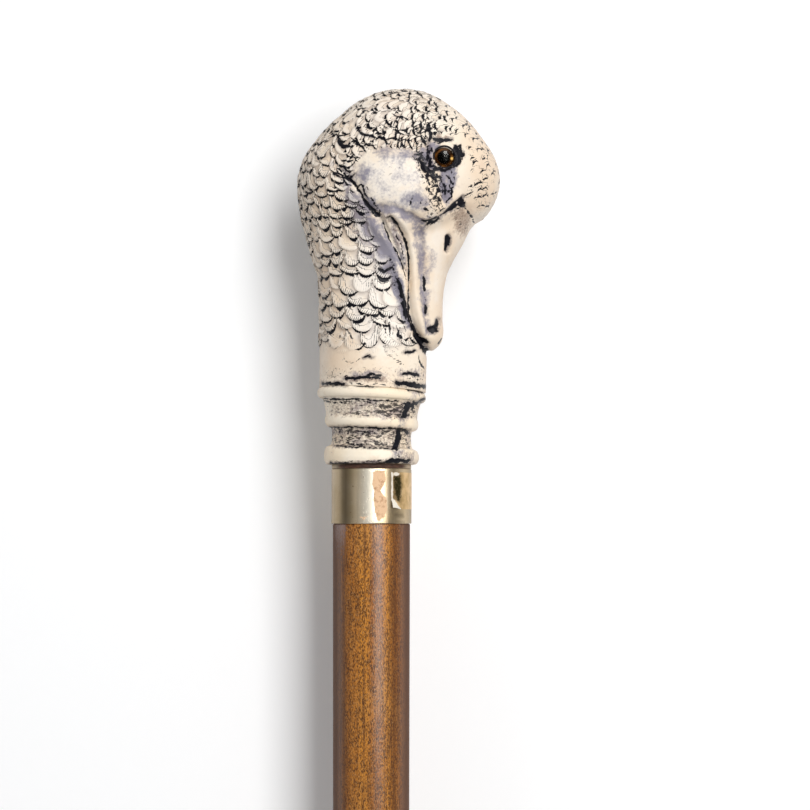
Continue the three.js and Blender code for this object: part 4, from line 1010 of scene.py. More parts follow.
def makeResin(name, ringed=False):
    material, shader, make, place = startMaterial(name, Specular_IOR_Level=resin["gloss"])
    tone = noiseNode(make, place, 75, 3)
    blotch = noiseNode(make, place, 300, 4)
    fine = noiseNode(make, place, 1500, 4, 0.6)
    grain = noiseNode(make, place, 4200, 3, 0.6)
    spread = centred(make, fine)
    cream, ivory = (resin["ringCream"], resin["ringIvory"]) if ringed else (resin["cream"], resin["ivory"])
    colour = mixed(make, eased(make, tone, 0.38, 0.62), cream, ivory)
    colour = mixed(make, times(make, eased(make, blotch, 0.50, 0.72), 0.30), colour, resin["tan"])
    if not ringed:
        # painted shade: warmer tan toward the head's outline; painted light: whiter where the lamp falls
        colour = mixed(make, times(make, stored(make, "warmShade"), 0.28), colour, resin["tan"])
        pale = times(make, stored(make, "pale"), eased(make, blotch, 0.25, 0.60, 0.5, 1.0))
        colour = mixed(make, pale, colour, resin["highlightWhite"])
    # painted shade: darker toward the outline, where the surface is seen edge on
    facing = edgeOn(make)
    colour = mixed(make, times(make, facing, facing, facing, 0.40), colour, resin["rim"])
    # bluish grey wash, partly painted shade in the hollows, along the cheek's lower edge and beside the bill
    grey, brown = stored(make, "greyWashAndShade"), stored(make, "brownWash")
    uneven = withShare(make, withShare(make, grey, spread, 1.0), centred(make, blotch), 1.5)
    washAndShadeMask = times(make, eased(make, uneven, 0.12, 0.95), eased(make, grey, 0.0, 0.15), 0.86)
    colour = mixed(make, washAndShadeMask, colour, resin["grey"])
    uneven = withShare(make, brown, spread, 1.6)
    brownMask = times(make, eased(make, uneven, 0.1, 1.0), eased(make, brown, 0.0, 0.1), 0.75)
    colour = mixed(make, brownMask, colour, resin["brown"])
    specks = eased(make, noiseNode(make, place, 900, 2, 0.5, 0.4), 0.70, 0.74)
    colour = mixed(make, times(make, specks, 0.35), colour, resin["grey"])
    ink, halo, flecks = stored(make, "ink"), stored(make, "halo"), stored(make, "flecks")
    uneven = withShare(make, halo, spread, 0.9)
    # painted shade: the halo darkens the skin round the ink lines
    haloMask = times(make, eased(make, uneven, 0.15, 1.1), eased(make, halo, 0.0, 0.2), 0.85)
    colour = mixed(make, haloMask, colour, resin["shade"])
    broken = withShare(make, ink, spread, 0.95)
    dark = times(make, eased(make, broken, 0.42, 0.58), eased(make, ink, 0.02, 0.22))
    if ringed:
        height = withShare(make, times(make, ink, -0.6), fine, 0.5)
        ragged = stretched(make, place, (560, 560, 1700), 4, 0.72, 0.6)
    else:
        colour, dark, height = inkFeathers(make, colour, dark, spread, blotch, fine)
        ragged = noiseNode(make, place, 1150, 4, 0.66, 0.6)
    fleckMask = eased(make, withShare(make, ragged, flecks, 0.30), 0.66, 0.71)
    fleckMask = times(make, fleckMask, eased(make, flecks, 0.05, 0.20), 0.9)
    dark = combined(make, "MAXIMUM", dark, fleckMask)
    colour = mixed(make, dark, colour, resin["ink"])
    addBump(make, shader, withShare(make, height, grain, 0.12), 0.40, 0.0003)
    roughness = make("ShaderNodeMapRange", {"Value": fine, "From Min": 0.3, "From Max": 0.7,
                                            "To Min": 0.30, "To Max": 0.46})
    feed(shader, Base_Color=colour, Roughness=roughness.outputs["Result"])
    return material


# Turned pieces: a line of (radius, height) points spun round the shaft axis
def spunShape(profile, steps, closed):
    shape = bmesh.new()
    points = [shape.verts.new((radius, 0, z)) for radius, z in profile]
    pairs = list(zip(points[:-1], points[1:])) + ([(points[-1], points[0])] if closed else [])
    edges = [shape.edges.new(pair) for pair in pairs]
    bmesh.ops.spin(shape, geom=points + edges, cent=(0, 0, 0), axis=(0, 0, 1), angle=2 * math.pi, steps=steps,
                   use_merge=True, use_duplicate=False)
    bmesh.ops.remove_doubles(shape, verts=shape.verts, dist=1e-7)
    bmesh.ops.recalc_face_normals(shape, faces=shape.faces)
    return shape


# Turned foot of the head. The profile holds (share of the neck's radius, share of the height) pairs
rings = {
    "footZ": 0.822148, "height": 0.0205, "neckRadius": 0.2595 * 0.0528, "boreRadius": 0.0041,
    "levels": 118, "steps": 288, "uneven": [(0.00006, 0.0030), (0.00004, 0.0010)],
    "profile": [(0.805, 0.000), (0.850, 0.008), (0.884, 0.040), (0.900, 0.085), (0.899, 0.125),
                (0.888, 0.165), (0.862, 0.196), (0.815, 0.212), (0.776, 0.226), (0.757, 0.262),
                (0.748, 0.320),
                (0.748, 0.370), (0.755, 0.412), (0.770, 0.442), (0.812, 0.452), (0.856, 0.472),
                (0.880, 0.500), (0.888, 0.532), (0.884, 0.570), (0.866, 0.600), (0.868, 0.640),
                (0.884, 0.700), (0.906, 0.760), (0.922, 0.790), (0.948, 0.812), (0.990, 0.822),
                (1.016, 0.840), (1.031, 0.864), (1.032, 0.888), (1.022, 0.912),
                (1.004, 0.932), (0.982, 0.945), (0.960, 0.960), (0.960, 1.000)],
    # stains in the picture, as for the flank; the grey wash along the foot of the lowest ring is painted
    # shade
    "inkStyle": {"added": 0.0, "taper": 0.0, "wobble": 0.6, "soft": 2.2,
                 "halo": 0.8, "haloWide": (1.6, 1.4), "haloFrom": 0.0},
    "inkLines": [
        ([(324, 398.5), (340, 399.5), (358, 399), (380, 401), (398, 401)], 0.9, 0.8),
        ([(345, 402), (360, 401), (372, 403)], 0.7, 0.7),
        ([(322, 384), (334, 384.5), (346, 385)], 1.4, 0.95),
        ([(355, 385), (370, 387), (385, 385)], 0.7, 0.85), ([(398, 385), (412, 387), (427, 388)], 2.4, 1.0),
        ([(404, 403), (410, 406), (418, 402), (424, 399)], 1.5, 0.95),
        ([(408, 403), (406, 410), (403, 417)], 2.2, 1.0), ([(414, 402), (412, 410)], 1.3, 0.85),
        ([(330, 427.5), (350, 427), (380, 428.5), (398, 428)], 0.9, 0.85),
        ([(333, 432.5), (352, 433), (384, 433.5)], 0.6, 0.7),
        ([(400, 430), (397, 439), (395, 448)], 2.8, 1.0), ([(402, 429), (408, 433)], 1.6, 0.95),
        ([(334, 446), (352, 447), (380, 448), (398, 449)], 0.8, 0.8),
        ([(330, 463), (345, 464), (366, 464), (392, 463), (410, 460)], 1.0, 0.85),
        ([(388, 462), (397, 459.5), (406, 461)], 2.4, 0.85), ([(396, 450), (399, 457)], 1.6, 0.55),
        ([(408, 389), (416, 391), (425, 392)], 1.5, 0.85),
        ([(324, 401), (338, 403), (352, 402)], 1.3, 0.62),
        ([(332, 430.5), (350, 431), (378, 431.5)], 0.9, 0.6),
        ([(346, 443), (358, 445), (374, 444)], 1.4, 0.62),
        ([(350, 436), (347, 441), (352, 444)], 0.6, 0.65), ([(336, 412), (342, 409), (345, 413)], 0.5, 0.6),
    ],
    "flecks": [
        ([(322, 399), (345, 400), (345, 418), (324, 417)], 2, 0.2),
        ([(342, 400), (404, 402), (422, 404), (414, 419), (392, 419), (344, 416)], 2, 0.46),
        ([(372, 403), (404, 402), (406, 416), (384, 418), (368, 410)], 2, 0.66),
        ([(330, 427), (404, 428), (414, 432), (410, 449), (332, 448)], 2, 0.5),
        ([(340, 429), (366, 428), (392, 436), (380, 447), (350, 440)], 2, 0.64),
        ([(330, 461), (412, 458), (410, 466), (331, 467)], 2, 0.55),
    ],
    "greyWashAndShade": [
        ([(352, 401), (412, 402), (410, 418), (380, 418), (350, 413)], 4, 0.5),
        ([(330, 427), (412, 428), (410, 449), (332, 448)], 2, 0.3),
        ([(330, 429), (378, 430), (378, 435), (330, 434)], 2, 0.55),
        ([(350, 438), (378, 439), (372, 448), (348, 447)], 3, 0.55),
        ([(412, 390), (419, 391), (416, 401), (410, 401)], 3, 0.42),
        ([(400, 417), (406, 417), (403, 430), (398, 430)], 3, 0.45),
        ([(394, 451), (402, 450), (405, 462), (390, 464)], 4, 0.5),
        ([(404, 453), (414, 453), (413, 463), (403, 463)], 3, 0.42),
        ([(330, 462), (412, 459), (410, 467), (331, 467)], 1.5, 0.45),
    ],
    "brownWash": [
        ([(330, 400), (424, 402), (420, 419), (330, 416)], 3, 0.5),
        ([(330, 427), (412, 428), (410, 449), (332, 448)], 1.5, 0.52),
        ([(330, 462), (412, 459), (410, 467), (331, 467)], 1.5, 0.6),
        ([(400, 452), (414, 451), (413, 463), (399, 463)], 3, 0.5),
    ],
}


def buildRings(materialUsed):
    footZ, height, radius = rings["footZ"], rings["height"], rings["neckRadius"]
    outline = [(share * radius, footZ + up * height) for share, up in rings["profile"]]
    lengths = np.concatenate([[0], np.cumsum([math.dist(a, b) for a, b in zip(outline[:-1], outline[1:])])])
    fine = np.linspace(0, lengths[-1], rings["levels"])
    across = curveOf([(length, point[0]) for length, point in zip(lengths, outline)])
    up = curveOf([(length, point[1]) for length, point in zip(lengths, outline)])
    profile = [(float(across(x)), float(up(x))) for x in fine]
    bore = rings["boreRadius"]
    profile = [(bore, footZ)] + profile + [(bore, profile[-1][1])]
    shape = spunShape(profile, rings["steps"], closed=True)
    places = vertexPlaces(shape.verts)
    pushed = unevennessAt(places, rings["uneven"])
    reach = np.hypot(places[:, 0], places[:, 1])
    places[:, :2] *= (1 + np.where(reach > bore * 1.5, pushed / reach, 0))[:, None]
    places = tiltShift(places)
    moveVertices(shape, places)
    picture = picturePlace(places)
    wobble = noiseAt(places, 0.0012, 5.2)
    drifted = picture + 1.2 * driftAt(places, 0.0013, (2.0, 6.0))
    ink, halo = inkAlong(drifted, rings["inkLines"], rings["inkStyle"], wobble)
    painted = {"ink": ink, "halo": halo, "flecks": washOf(picture, rings["flecks"], -1, 1)}
    for key in ("greyWashAndShade", "brownWash"):
        painted[key] = washOf(picture, rings[key], -1, 0.6, 0.6 * wobble)
    piece = newPiece("rings_casting", shape, "handle_body", materialUsed, ["handle"])
    for key, value in painted.items():
        store(piece.data, key, value)
    return piece


headCasting = buildHead(makeResin("carved_resin"))
print("head built,", len(headCasting.data.vertices), "vertices")
ringsCasting = buildRings(makeResin("turned_resin", ringed=True))
print("rings built,", len(ringsCasting.data.vertices), "vertices")


# Eyes: a painted disc under a glass dome, with a cast rim round it. The glint is a painted reflection, a spot
# where the amber is painted bright, and the shine is where the dome mirrors most
def makeIris():
    material, shader, make, place = startMaterial("painted_iris", Roughness=0.5, Specular_IOR_Level=0.0)
    streak = noiseNode(make, place, 2600, 3)
    moved = withShare(make, stored(make, "irisRadius"), centred(make, streak), 0.24)
    colour = mixed(make, eased(make, moved, 0.58, 0.72), eye["pupil"], eye["brown"])
    patchy = eased(make, noiseNode(make, place, 620, 3), 0.40, 0.66)
    amber = times(make, eased(make, moved, 0.66, 0.84), patchy)
    colour = mixed(make, amber, colour, eye["amber"])
    # painted reflection: a bright amber glint at one spot on the iris
    colour = mixed(make, eased(make, stored(make, "paintedGlint"), 0.3, 0.8), colour, eye["paintedGlintTone"])
    colour = mixed(make, eased(make, moved, 0.90, 0.99), colour, eye["border"])
    feed(shader, Base_Color=colour)
    return material


def makeEyeGlass():
    material, shader, make, place = startMaterial("eye_glass", Metallic=1.0, Roughness=0.13)
    tint = mixed(make, noiseNode(make, place, 300, 2), (1.0, 0.98, 0.94), (0.96, 0.94, 0.90))
    feed(shader, Base_Color=tint)
    clear = make("ShaderNodeBsdfTransparent", {"Color": tint})
    outside = oneLess(make, make("ShaderNodeNewGeometry").outputs["Backfacing"])
    mirrored = make("ShaderNodeFresnel", {"IOR": 1.46}).outputs[0]
    mirrored = times(make, mirrored, outside, stored(make, "shine"))
    blend = make("ShaderNodeMixShader", {0: mirrored, 1: clear.outputs[0], 2: shader.outputs[0]})
    feed(material.node_tree.nodes["Material Output"], Surface=blend.outputs[0])
    return material


def spunInPlace(profile, steps, closed, side, stretch=1.0):
    shape = spunShape(profile, steps, closed)
    centre, outward = eyeSeat(side)
    turned = Vector((0, 0, 1)).rotation_difference(outward).to_matrix().to_4x4()
    seat = Matrix.Translation(centre) @ turned @ Matrix.Diagonal((stretch, 1, 1, 1))
    bmesh.ops.transform(shape, matrix=seat, verts=shape.verts)
    return shape


# Spot of light round a place in the picture, fading from 1 to 0
def spotAt(places, spot, wide):
    across, down = (picturePlace(places) - np.array(spot)).T
    return np.exp(-(np.hypot(across, down) / wide) ** 2)


def buildIris(side, name, materialUsed):
    reach = eye["radius"] - eye["discGap"]
    foot = eye["discGap"] - eye["seat"]
    top = foot + eye["discThick"]
    profile = [(0, foot), (reach, foot)]
    profile += [(reach * share, top) for share in np.linspace(1, 0, 15)]
    shape = spunInPlace(profile, 64, False, side)
    replaced = [f"eye_iris_{name}"]
    piece = newPiece(f"iris_{name}", shape, "handle_body", materialUsed, replaced, 40)
    places = vertexPlaces(piece.data.vertices)
    centre, outward = (np.array(part) for part in eyeSeat(side))
    away = places - centre
    flat = away - (away @ outward)[:, None] * outward
    store(piece.data, "irisRadius", np.linalg.norm(flat, axis=1) / reach)
    store(piece.data, "paintedGlint", spotAt(places, eye["paintedGlint"], eye["glintWide"]))


def buildLens(side, name, materialUsed):
    radius, foot = eye["radius"], eye["domeFoot"] - eye["seat"]
    edge = foot + eye["domeEdge"]
    profile = [(0, foot), (radius * 0.985, foot), (radius, foot + eye["domeRound"]), (radius, edge)]
    profile += [(radius * math.cos(angle), edge + eye["domeRise"] * math.sin(angle))
                for angle in np.linspace(0, math.pi / 2, 17)[1:-1]]
    profile += [(0, edge + eye["domeRise"])]
    shape = spunInPlace(profile, 72, False, side)
    replaced = [f"eye_lens_{name}"]
    piece = newPiece(f"lens_{name}", shape, "handle_body", materialUsed, replaced, 60)
    shine = spotAt(vertexPlaces(piece.data.vertices), eye["shine"], eye["shineWide"])
    store(piece.data, "shine", eye["shineLeast"] + eye["shineMost"] * shine)


def buildRim(side, name, materialUsed):
    thick = eye["rimThick"]
    profile = [(eye["rimRadius"] + thick * math.cos(angle),
                thick * eye["rimTall"] * math.sin(angle) - eye["rimSink"])
               for angle in np.linspace(0, 2 * math.pi, 15)[:-1]]
    shape = spunInPlace(profile, 80, True, side, eye["rimStretch"])
    piece = newPiece(f"rim_{name}", shape, "handle_body", materialUsed, ["handle"])
    for key, value in eye["rimStain"].items():
        store(piece.data, key, [value] * len(piece.data.vertices))


irisMaterial, glassMaterial = makeIris(), makeEyeGlass()
rimMaterial = makeResin("rim_resin", ringed=True)
for side, name in ((-1, "left"), (1, "right")):
    buildIris(side, name, irisMaterial)
    buildLens(side, name, glassMaterial)
    buildRim(side, name, rimMaterial)
print("eyes built")


# Brass collar: thin tube with rolled edges, brushed round, with painted dark reflections in bands, darker
# patches, a painted highlight and old glue beside the label. Patches are outline, softness, strength; dark
# reflection bands are (across, strength); gleam, the painted highlight, is across, width, strength
collar = {
    "footZ": 0.806848, "height": 0.0141, "radius": 0.0104, "wall": 0.0008, "edge": 0.00022,
    "rows": 22, "steps": 256, "dent": 0.000022, "dentGrain": 0.0045, "dentSink": 0.00002,
    "pale": (0.90, 0.72, 0.48), "deep": (0.78, 0.60, 0.36), "streak": (0.34, 0.25, 0.15),
    "gleamTone": (1.0, 0.94, 0.80), "darkBandTone": (0.05, 0.034, 0.017), "speck": (0.24, 0.14, 0.07),
    "gluePale": (0.76, 0.51, 0.31), "glueDark": (0.46, 0.24, 0.12),
    "glue": [
        ([(374, 470), (384, 470), (385.5, 478), (383, 486), (379, 492), (375, 492), (373, 484)], 1.5, 0.95),
        ([(375, 491), (380, 491), (386, 499), (387, 510), (383, 518), (378, 520), (375.5, 512), (374, 500)],
         1.5, 0.95),
        ([(355, 517.5), (362, 516.5), (372, 517.5), (363, 519.5)], 1.0, 0.55),
    ],
    "darkPatches": [([(388, 519.8), (396, 520.6), (405, 519.6), (405, 523), (388, 523)], 1.2, 0.98),
                ([(389, 511), (404, 512), (406, 519), (390, 518)], 3.0, 0.72)],
    "darkReflectionBands": [(326, 0.50), (333, 0.62), (339, 0.66), (343, 0.86), (346, 0.87), (350, 0.60), (355, 0.06),
                 (360, 0.0), (385, 0.05), (389, 0.62), (393, 0.72), (397, 0.45), (405, 0.40), (412, 0.75)],
    "gleam": (368, 9, 0.95),
}


def makeBrass():
    material, shader, make, place = startMaterial("collar_brass", Metallic=1.0)
    brushed = stretched(make, place, (30, 30, 9000), 4, 0.7)
    streaks = stretched(make, place, (420, 420, 18))
    cloud = noiseNode(make, place, 150, 4)
    fine = noiseNode(make, place, 1400, 4, 0.6)
    colour = mixed(make, eased(make, cloud, 0.35, 0.7), collar["pale"], collar["deep"])
    colour = mixed(make, times(make, eased(make, streaks, 0.5, 0.8), 0.45), colour, collar["streak"])
    # painted highlight at the gleam, then painted dark reflections in bands and darker patches
    colour = mixed(make, times(make, stored(make, "paintedGleam"), 0.9), colour, collar["gleamTone"])
    colour = mixed(make, times(make, stored(make, "darkReflectionAndPatches"), 0.92), colour, collar["darkBandTone"])
    specks = eased(make, noiseNode(make, place, 1250, 3, 0.6), 0.66, 0.72)
    colour = mixed(make, times(make, specks, 0.6), colour, collar["speck"])
    torn = withShare(make, stored(make, "glue"), centred(make, fine), 1.3)
    glueMask = eased(make, torn, 0.42, 0.58)
    patchy = eased(make, noiseNode(make, place, 900, 4, 0.65), 0.48, 0.70)
    glueTone = mixed(make, patchy, collar["gluePale"], collar["glueDark"])
    colour = mixed(make, glueMask, colour, glueTone)
    metal = oneLess(make, times(make, glueMask, 0.85))
    rough = withShare(make, times(make, glueMask, 0.28), brushed, 0.16)
    rough = combined(make, "ADD", rough, 0.30)
    feed(shader, Base_Color=colour, Metallic=metal, Roughness=rough)
    pits = eased(make, noiseNode(make, place, 2400, 2, 0.5), 0.60, 0.67)
    height = withShare(make, times(make, glueMask, 0.6), brushed, 0.25)
    addBump(make, shader, withShare(make, height, pits, -0.45), 0.30, 0.0002)
    return material


def buildCollar():
    foot, top, radius = collar["footZ"], collar["footZ"] + collar["height"], collar["radius"]
    inner, edge = radius - collar["wall"], collar["edge"]
    profile = [(inner, foot)]
    for angle in np.linspace(-math.pi / 2, 0, 5):
        profile.append((radius - edge + edge * math.cos(angle), foot + edge + edge * math.sin(angle)))
    levels = np.linspace(0.08, 0.92, collar["rows"])
    profile += [(radius, foot + collar["height"] * share) for share in levels]
    for angle in np.linspace(0, math.pi / 2, 5):
        profile.append((radius - edge + edge * math.cos(angle), top - edge + edge * math.sin(angle)))
    profile += [(inner, top)]
    shape = spunShape(profile, collar["steps"], closed=True)
    places = vertexPlaces(shape.verts)
    reach = np.hypot(places[:, 0], places[:, 1])
    dents = collar["dent"] * noiseAt(places, collar["dentGrain"], 2.0) - collar["dentSink"]
    places[:, :2] *= (1 + np.where(reach > inner * 1.02, dents / reach, 0))[:, None]
    moveVertices(shape, places)
    picture = picturePlace(places)
    near = places[:, 1] < 0
    # painted dark reflections banded across the picture, darker patches, and a painted highlight at the gleam
    darkReflectionAndPatches = np.interp(picture[:, 0], *np.array(collar["darkReflectionBands"]).T)
    darkReflectionAndPatches = np.maximum(darkReflectionAndPatches, washOf(picture, collar["darkPatches"], -1, 1))
    across, wide, strength = collar["gleam"]
    paintedGleam = strength * np.exp(-((picture[:, 0] - across) / wide) ** 2)
    piece = newPiece("collar_tube", shape, "shaft_body", makeBrass(), ["collar"], 35)
    store(piece.data, "glue", washOf(picture, collar["glue"], -1, 0.5) * near)
    store(piece.data, "darkReflectionAndPatches", darkReflectionAndPatches * near)
    store(piece.data, "paintedGleam", paintedGleam * near)


buildCollar()
print("collar built")

# Foil label: a sheet bent round the collar, its lower left corner lifted. Its worn edge, corner and spot, its
# stain and a narrow darker band along its right outline are places in the picture
label = {
    "from": -60.0, "to": 25.0, "footZ": 0.810548, "height": 0.0094, "lift": 0.00004, "thick": 0.00012,
    "squares": (60, 40), "ragged": 0.012, "corner": (0.22, 0.30), "curl": 0.0009, "curlUp": 0.0004,
    "wrinkle": 0.00002,
    "gold": (0.72, 0.50, 0.26), "deepGold": (0.48, 0.32, 0.14), "stained": (0.055, 0.045, 0.015),
    "paper": (0.80, 0.74, 0.64),
    "wornEdge": 391.8, "wornSpot": (396, 474),
    "wornCorner": [(390, 496), (395, 500), (398, 505), (402, 510), (390, 512)],
    "stain": [(393, 476), (401, 474), (402.5, 486), (401.5, 497), (399, 504), (396, 499), (393.5, 488)],
    "outlineDarkBand": 411, "stainFrom": -0.003,
}


def makeFoil():
    material, shader, make, place = startMaterial("label_foil", Roughness=0.34)
    cloud = noiseNode(make, place, 420, 4, 0.6)
    fine = centred(make, noiseNode(make, place, 1900, 4, 0.6))
    colour = mixed(make, eased(make, cloud, 0.35, 0.65), label["gold"], label["deepGold"])
    wornMask = eased(make, withShare(make, stored(make, "worn"), fine, 0.8), 0.42, 0.56)
    stainMask = eased(make, withShare(make, stored(make, "stain"), fine, 1.1), 0.2, 0.8)
    colour = mixed(make, stainMask, colour, label["stained"])
    colour = mixed(make, wornMask, colour, label["paper"])
    feed(shader, Base_Color=colour, Metallic=oneLess(make, wornMask))
    addBump(make, shader, cloud, 0.5, 0.0003)
    return material


def bendLabel(vert):
    across, up = (vert.co.x + 1) / 2, (vert.co.y + 1) / 2
    ragged = 0
    if 0 < up < 1 and across in (0, 1):
        ragged = label["ragged"] * noise.noise((across * 9, up * 9, 0.3))
    angle = math.radians(label["from"] + (label["to"] - label["from"]) * (across + ragged))
    corner = max(0, 1 - math.hypot(across / label["corner"][0], up / label["corner"][1]))
    corner = corner * corner * (3 - 2 * corner)
    wrinkle = label["wrinkle"] * max(noise.noise((across * 7, up * 6, 1.7)), 0)
    radius = collar["radius"] + label["lift"] + label["curl"] * corner + wrinkle
    z = label["footZ"] + label["height"] * up + label["curlUp"] * corner
    vert.co = (radius * math.cos(angle), radius * math.sin(angle), z)


def buildLabel():
    shape = bmesh.new()
    wide, tall = label["squares"]
    bmesh.ops.create_grid(shape, x_segments=wide, y_segments=tall, size=1.0)
    for vert in shape.verts:
        bendLabel(vert)
    bmesh.ops.recalc_face_normals(shape, faces=shape.faces)
    bmesh.ops.solidify(shape, geom=list(shape.faces), thickness=label["thick"])
    bmesh.ops.recalc_face_normals(shape, faces=shape.faces)
    piece = newPiece("foil_label", shape, "shaft_body", makeFoil(), ["collar_label"], 50)
    places = vertexPlaces(piece.data.vertices)
    picture = picturePlace(places)
    across, down = picture.T
    spotAcross, spotDown = label["wornSpot"]
    worn = np.max([0.75 * easeBetween(2.0, 0.8, np.abs(across - label["wornEdge"])),
                   0.9 * easeBetween(-1.5, 1.5, insideOutline(picture, label["wornCorner"])),
                   0.55 * easeBetween(4, 1, np.hypot((across - spotAcross) / 2, down - spotDown))], axis=0)
    # the stain, with a narrow darker band along the right outline added to it
    stain = np.maximum(0.80 * easeBetween(-2.5, 3.0, insideOutline(picture, label["stain"])),
                       0.32 * np.exp(-((across - label["outlineDarkBand"]) / 1.6) ** 2))
    store(piece.data, "worn", worn)
    store(piece.data, "stain", stain * (places[:, 1] < label["stainFrom"]))


buildLabel()
print("label built")

# Seating washer of dark fibre, with a painted sheen toward its outline
washer = {
    "footZ": 0.820948, "thick": 0.0012, "radius": 0.0103, "bore": 0.0046, "edge": 0.0002, "steps": 192,
    "dark": (0.030, 0.013, 0.008), "brown": (0.11, 0.045, 0.025), "paintedEdgeTone": (0.62, 0.50, 0.35),
}


def makeFibre():
    material, shader, make, place = startMaterial("seat_fibre", Roughness=0.7)
    fibre = stretched(make, place, (700, 700, 3500), 4, 0.65)
    colour = mixed(make, eased(make, fibre, 0.35, 0.65), washer["dark"], washer["brown"])
    # painted sheen: paler toward the outline, where the washer is seen edge on
    edgeSheen = times(make, eased(make, edgeOn(make), 0.36, 0.62), 0.75)
    feed(shader, Base_Color=mixed(make, edgeSheen, colour, washer["paintedEdgeTone"]))
    addBump(make, shader, fibre, 0.5, 0.0002)
    return material


def buildWasher():
    foot, top, edge = washer["footZ"], washer["footZ"] + washer["thick"], washer["edge"]
    bore, radius = washer["bore"], washer["radius"]
    profile = [(bore, foot), (radius - edge, foot), (radius, foot + edge),
               (radius, top - edge), (radius - edge, top), (bore, top)]
    shape = spunShape(profile, washer["steps"], closed=True)
    newPiece("fibre_washer", shape, "seat_body", makeFibre(), ["seat_washer"], 50)


buildWasher()

# Wooden shaft, turned to a slow taper, with a seat for the collar and a stepped hole for the insert.
# Stripes are turn in degrees, width, strength; the scuff is an outline in the picture
shaft = {
    "footZ": 0.00958, "shoulderZ": 0.806848, "topZ": 0.820948, "topRadius": 0.0100, "footRadius": 0.00775,
    "footEdge": 0.0008, "shoulderEdge": 0.0004, "shoulderSlope": (0.00012, 0.0001), "tenon": 0.00952,
    "mouth": 0.0071, "mouthDeep": 0.0013, "hole": 0.0061, "holeDeep": 0.023, "rows": 60, "steps": 160,
    "stripes": [(-132, 3.5, 0.8), (-140, 10, 0.60), (-54, 9, 0.75), (-100, 3, 0.3), (-20, 6, 0.5),
                (20, 5, 0.7), (62, 7, 0.6), (95, 3, 0.4), (128, 6, 0.7), (165, 4, 0.5)],
    "scuff": [(335, 524), (346, 524), (347, 538), (344, 555), (336, 552)],
    "orange": (0.57, 0.220, 0.024), "chestnut": (0.34, 0.108, 0.009), "haze": (0.50, 0.23, 0.055),
    "grain": (0.13, 0.042, 0.008), "pore": (0.060, 0.018, 0.003), "ray": (0.60, 0.31, 0.11),
    "streak": (0.085, 0.030, 0.010), "paintedEdgeTone": (0.070, 0.020, 0.004), "scuffed": (0.36, 0.27, 0.26),
}


def makeWood():
    material, shader, make, place = startMaterial("varnished_wood", Specular_IOR_Level=0.50)
    bands = stretched(make, place, (300, 300, 4), 4, 0.6, 0.3)
    grain = stretched(make, place, (1500, 1500, 60), 4, 0.62, 0.3)
    pores = stretched(make, place, (4300, 4300, 1450), 3, 0.65)
    cloud = stretched(make, place, (90, 90, 30))
    ray = stretched(make, place, (4200, 4200, 2100), 3, 0.7)
    clump = centred(make, stretched(make, place, (800, 800, 230), 3, 0.6))
    facing = edgeOn(make)
    colour = mixed(make, eased(make, bands, 0.36, 0.64), shaft["orange"], shaft["chestnut"])
    colour = mixed(make, times(make, eased(make, cloud, 0.42, 0.70), 0.6), colour, shaft["haze"])
    colour = mixed(make, times(make, eased(make, grain, 0.48, 0.68), 0.60), colour, shaft["grain"])
    specked = eased(make, withShare(make, pores, clump, 0.26), 0.445, 0.575)
    colour = mixed(make, times(make, specked, 0.92), colour, shaft["pore"])
    colour = mixed(make, times(make, eased(make, ray, 0.52, 0.66), 0.55), colour, shaft["ray"])
    uneven = withShare(make, stored(make, "stripe"), centred(make, grain), 1.2)
    colour = mixed(make, times(make, eased(make, uneven, 0.1, 1.0), 0.7), colour, shaft["streak"])
    # painted shade: darker brown toward the outline, where the wood is seen edge on
    colour = mixed(make, times(make, eased(make, facing, 0.06, 0.60), 0.90), colour, shaft["paintedEdgeTone"])
    scuffed = eased(make, withShare(make, stored(make, "scuff"), centred(make, pores), 1.5), 0.3, 1.1)
    colour = mixed(make, times(make, scuffed, 0.6), colour, shaft["scuffed"])
    feed(shader, Base_Color=colour, Roughness=eased(make, facing, 0.30, 0.65, 0.25, 0.70))
    height = withShare(make, times(make, grain, -0.3), pores, -0.6)
    addBump(make, shader, height, 0.30, 0.0002)
    return material


def buildShaft():
    foot, shoulder, top = shaft["footZ"], shaft["shoulderZ"], shaft["topZ"]
    footRadius, topRadius = shaft["footRadius"], shaft["topRadius"]
    footEdge, shoulderEdge = shaft["footEdge"], shaft["shoulderEdge"]
    slopeIn, slopeDown = shaft["shoulderSlope"]
    profile = [(0, foot), (footRadius - footEdge, foot), (footRadius, foot + footEdge)]
    for share in np.linspace(0, 1, shaft["rows"])[1:]:
        profile.append((footRadius + (topRadius - footRadius) * share,
                        foot + footEdge + (shoulder - shoulderEdge - foot - footEdge) * share))
    profile += [(topRadius - slopeIn, shoulder - slopeDown), (topRadius - shoulderEdge, shoulder),
                (shaft["tenon"], shoulder), (shaft["tenon"], top),
                (shaft["mouth"], top), (shaft["mouth"], top - shaft["mouthDeep"]),
                (shaft["hole"], top - shaft["mouthDeep"]), (shaft["hole"], top - shaft["holeDeep"]),
                (0, top - shaft["holeDeep"])]
    shape = spunShape(profile, shaft["steps"], closed=False)
    piece = newPiece("turned_shaft", shape, "shaft_body", makeWood(), ["shaft"], 35)
    places = vertexPlaces(piece.data.vertices)
    turns = np.degrees(np.arctan2(places[:, 1], places[:, 0]))
    stripe = np.zeros(len(places))
    for turn, wide, strength in shaft["stripes"]:
        away = np.abs((turns - turn + 180) % 360 - 180)
        stripe = np.maximum(stripe, strength * np.exp(-(away / wide) ** 2))
    inside = insideOutline(picturePlace(places), shaft["scuff"])
    store(piece.data, "stripe", stripe)
    store(piece.data, "scuff", np.where(places[:, 1] < 0, easeBetween(-2.5, 2.5, inside), 0))


buildShaft()
print("washer and shaft built")

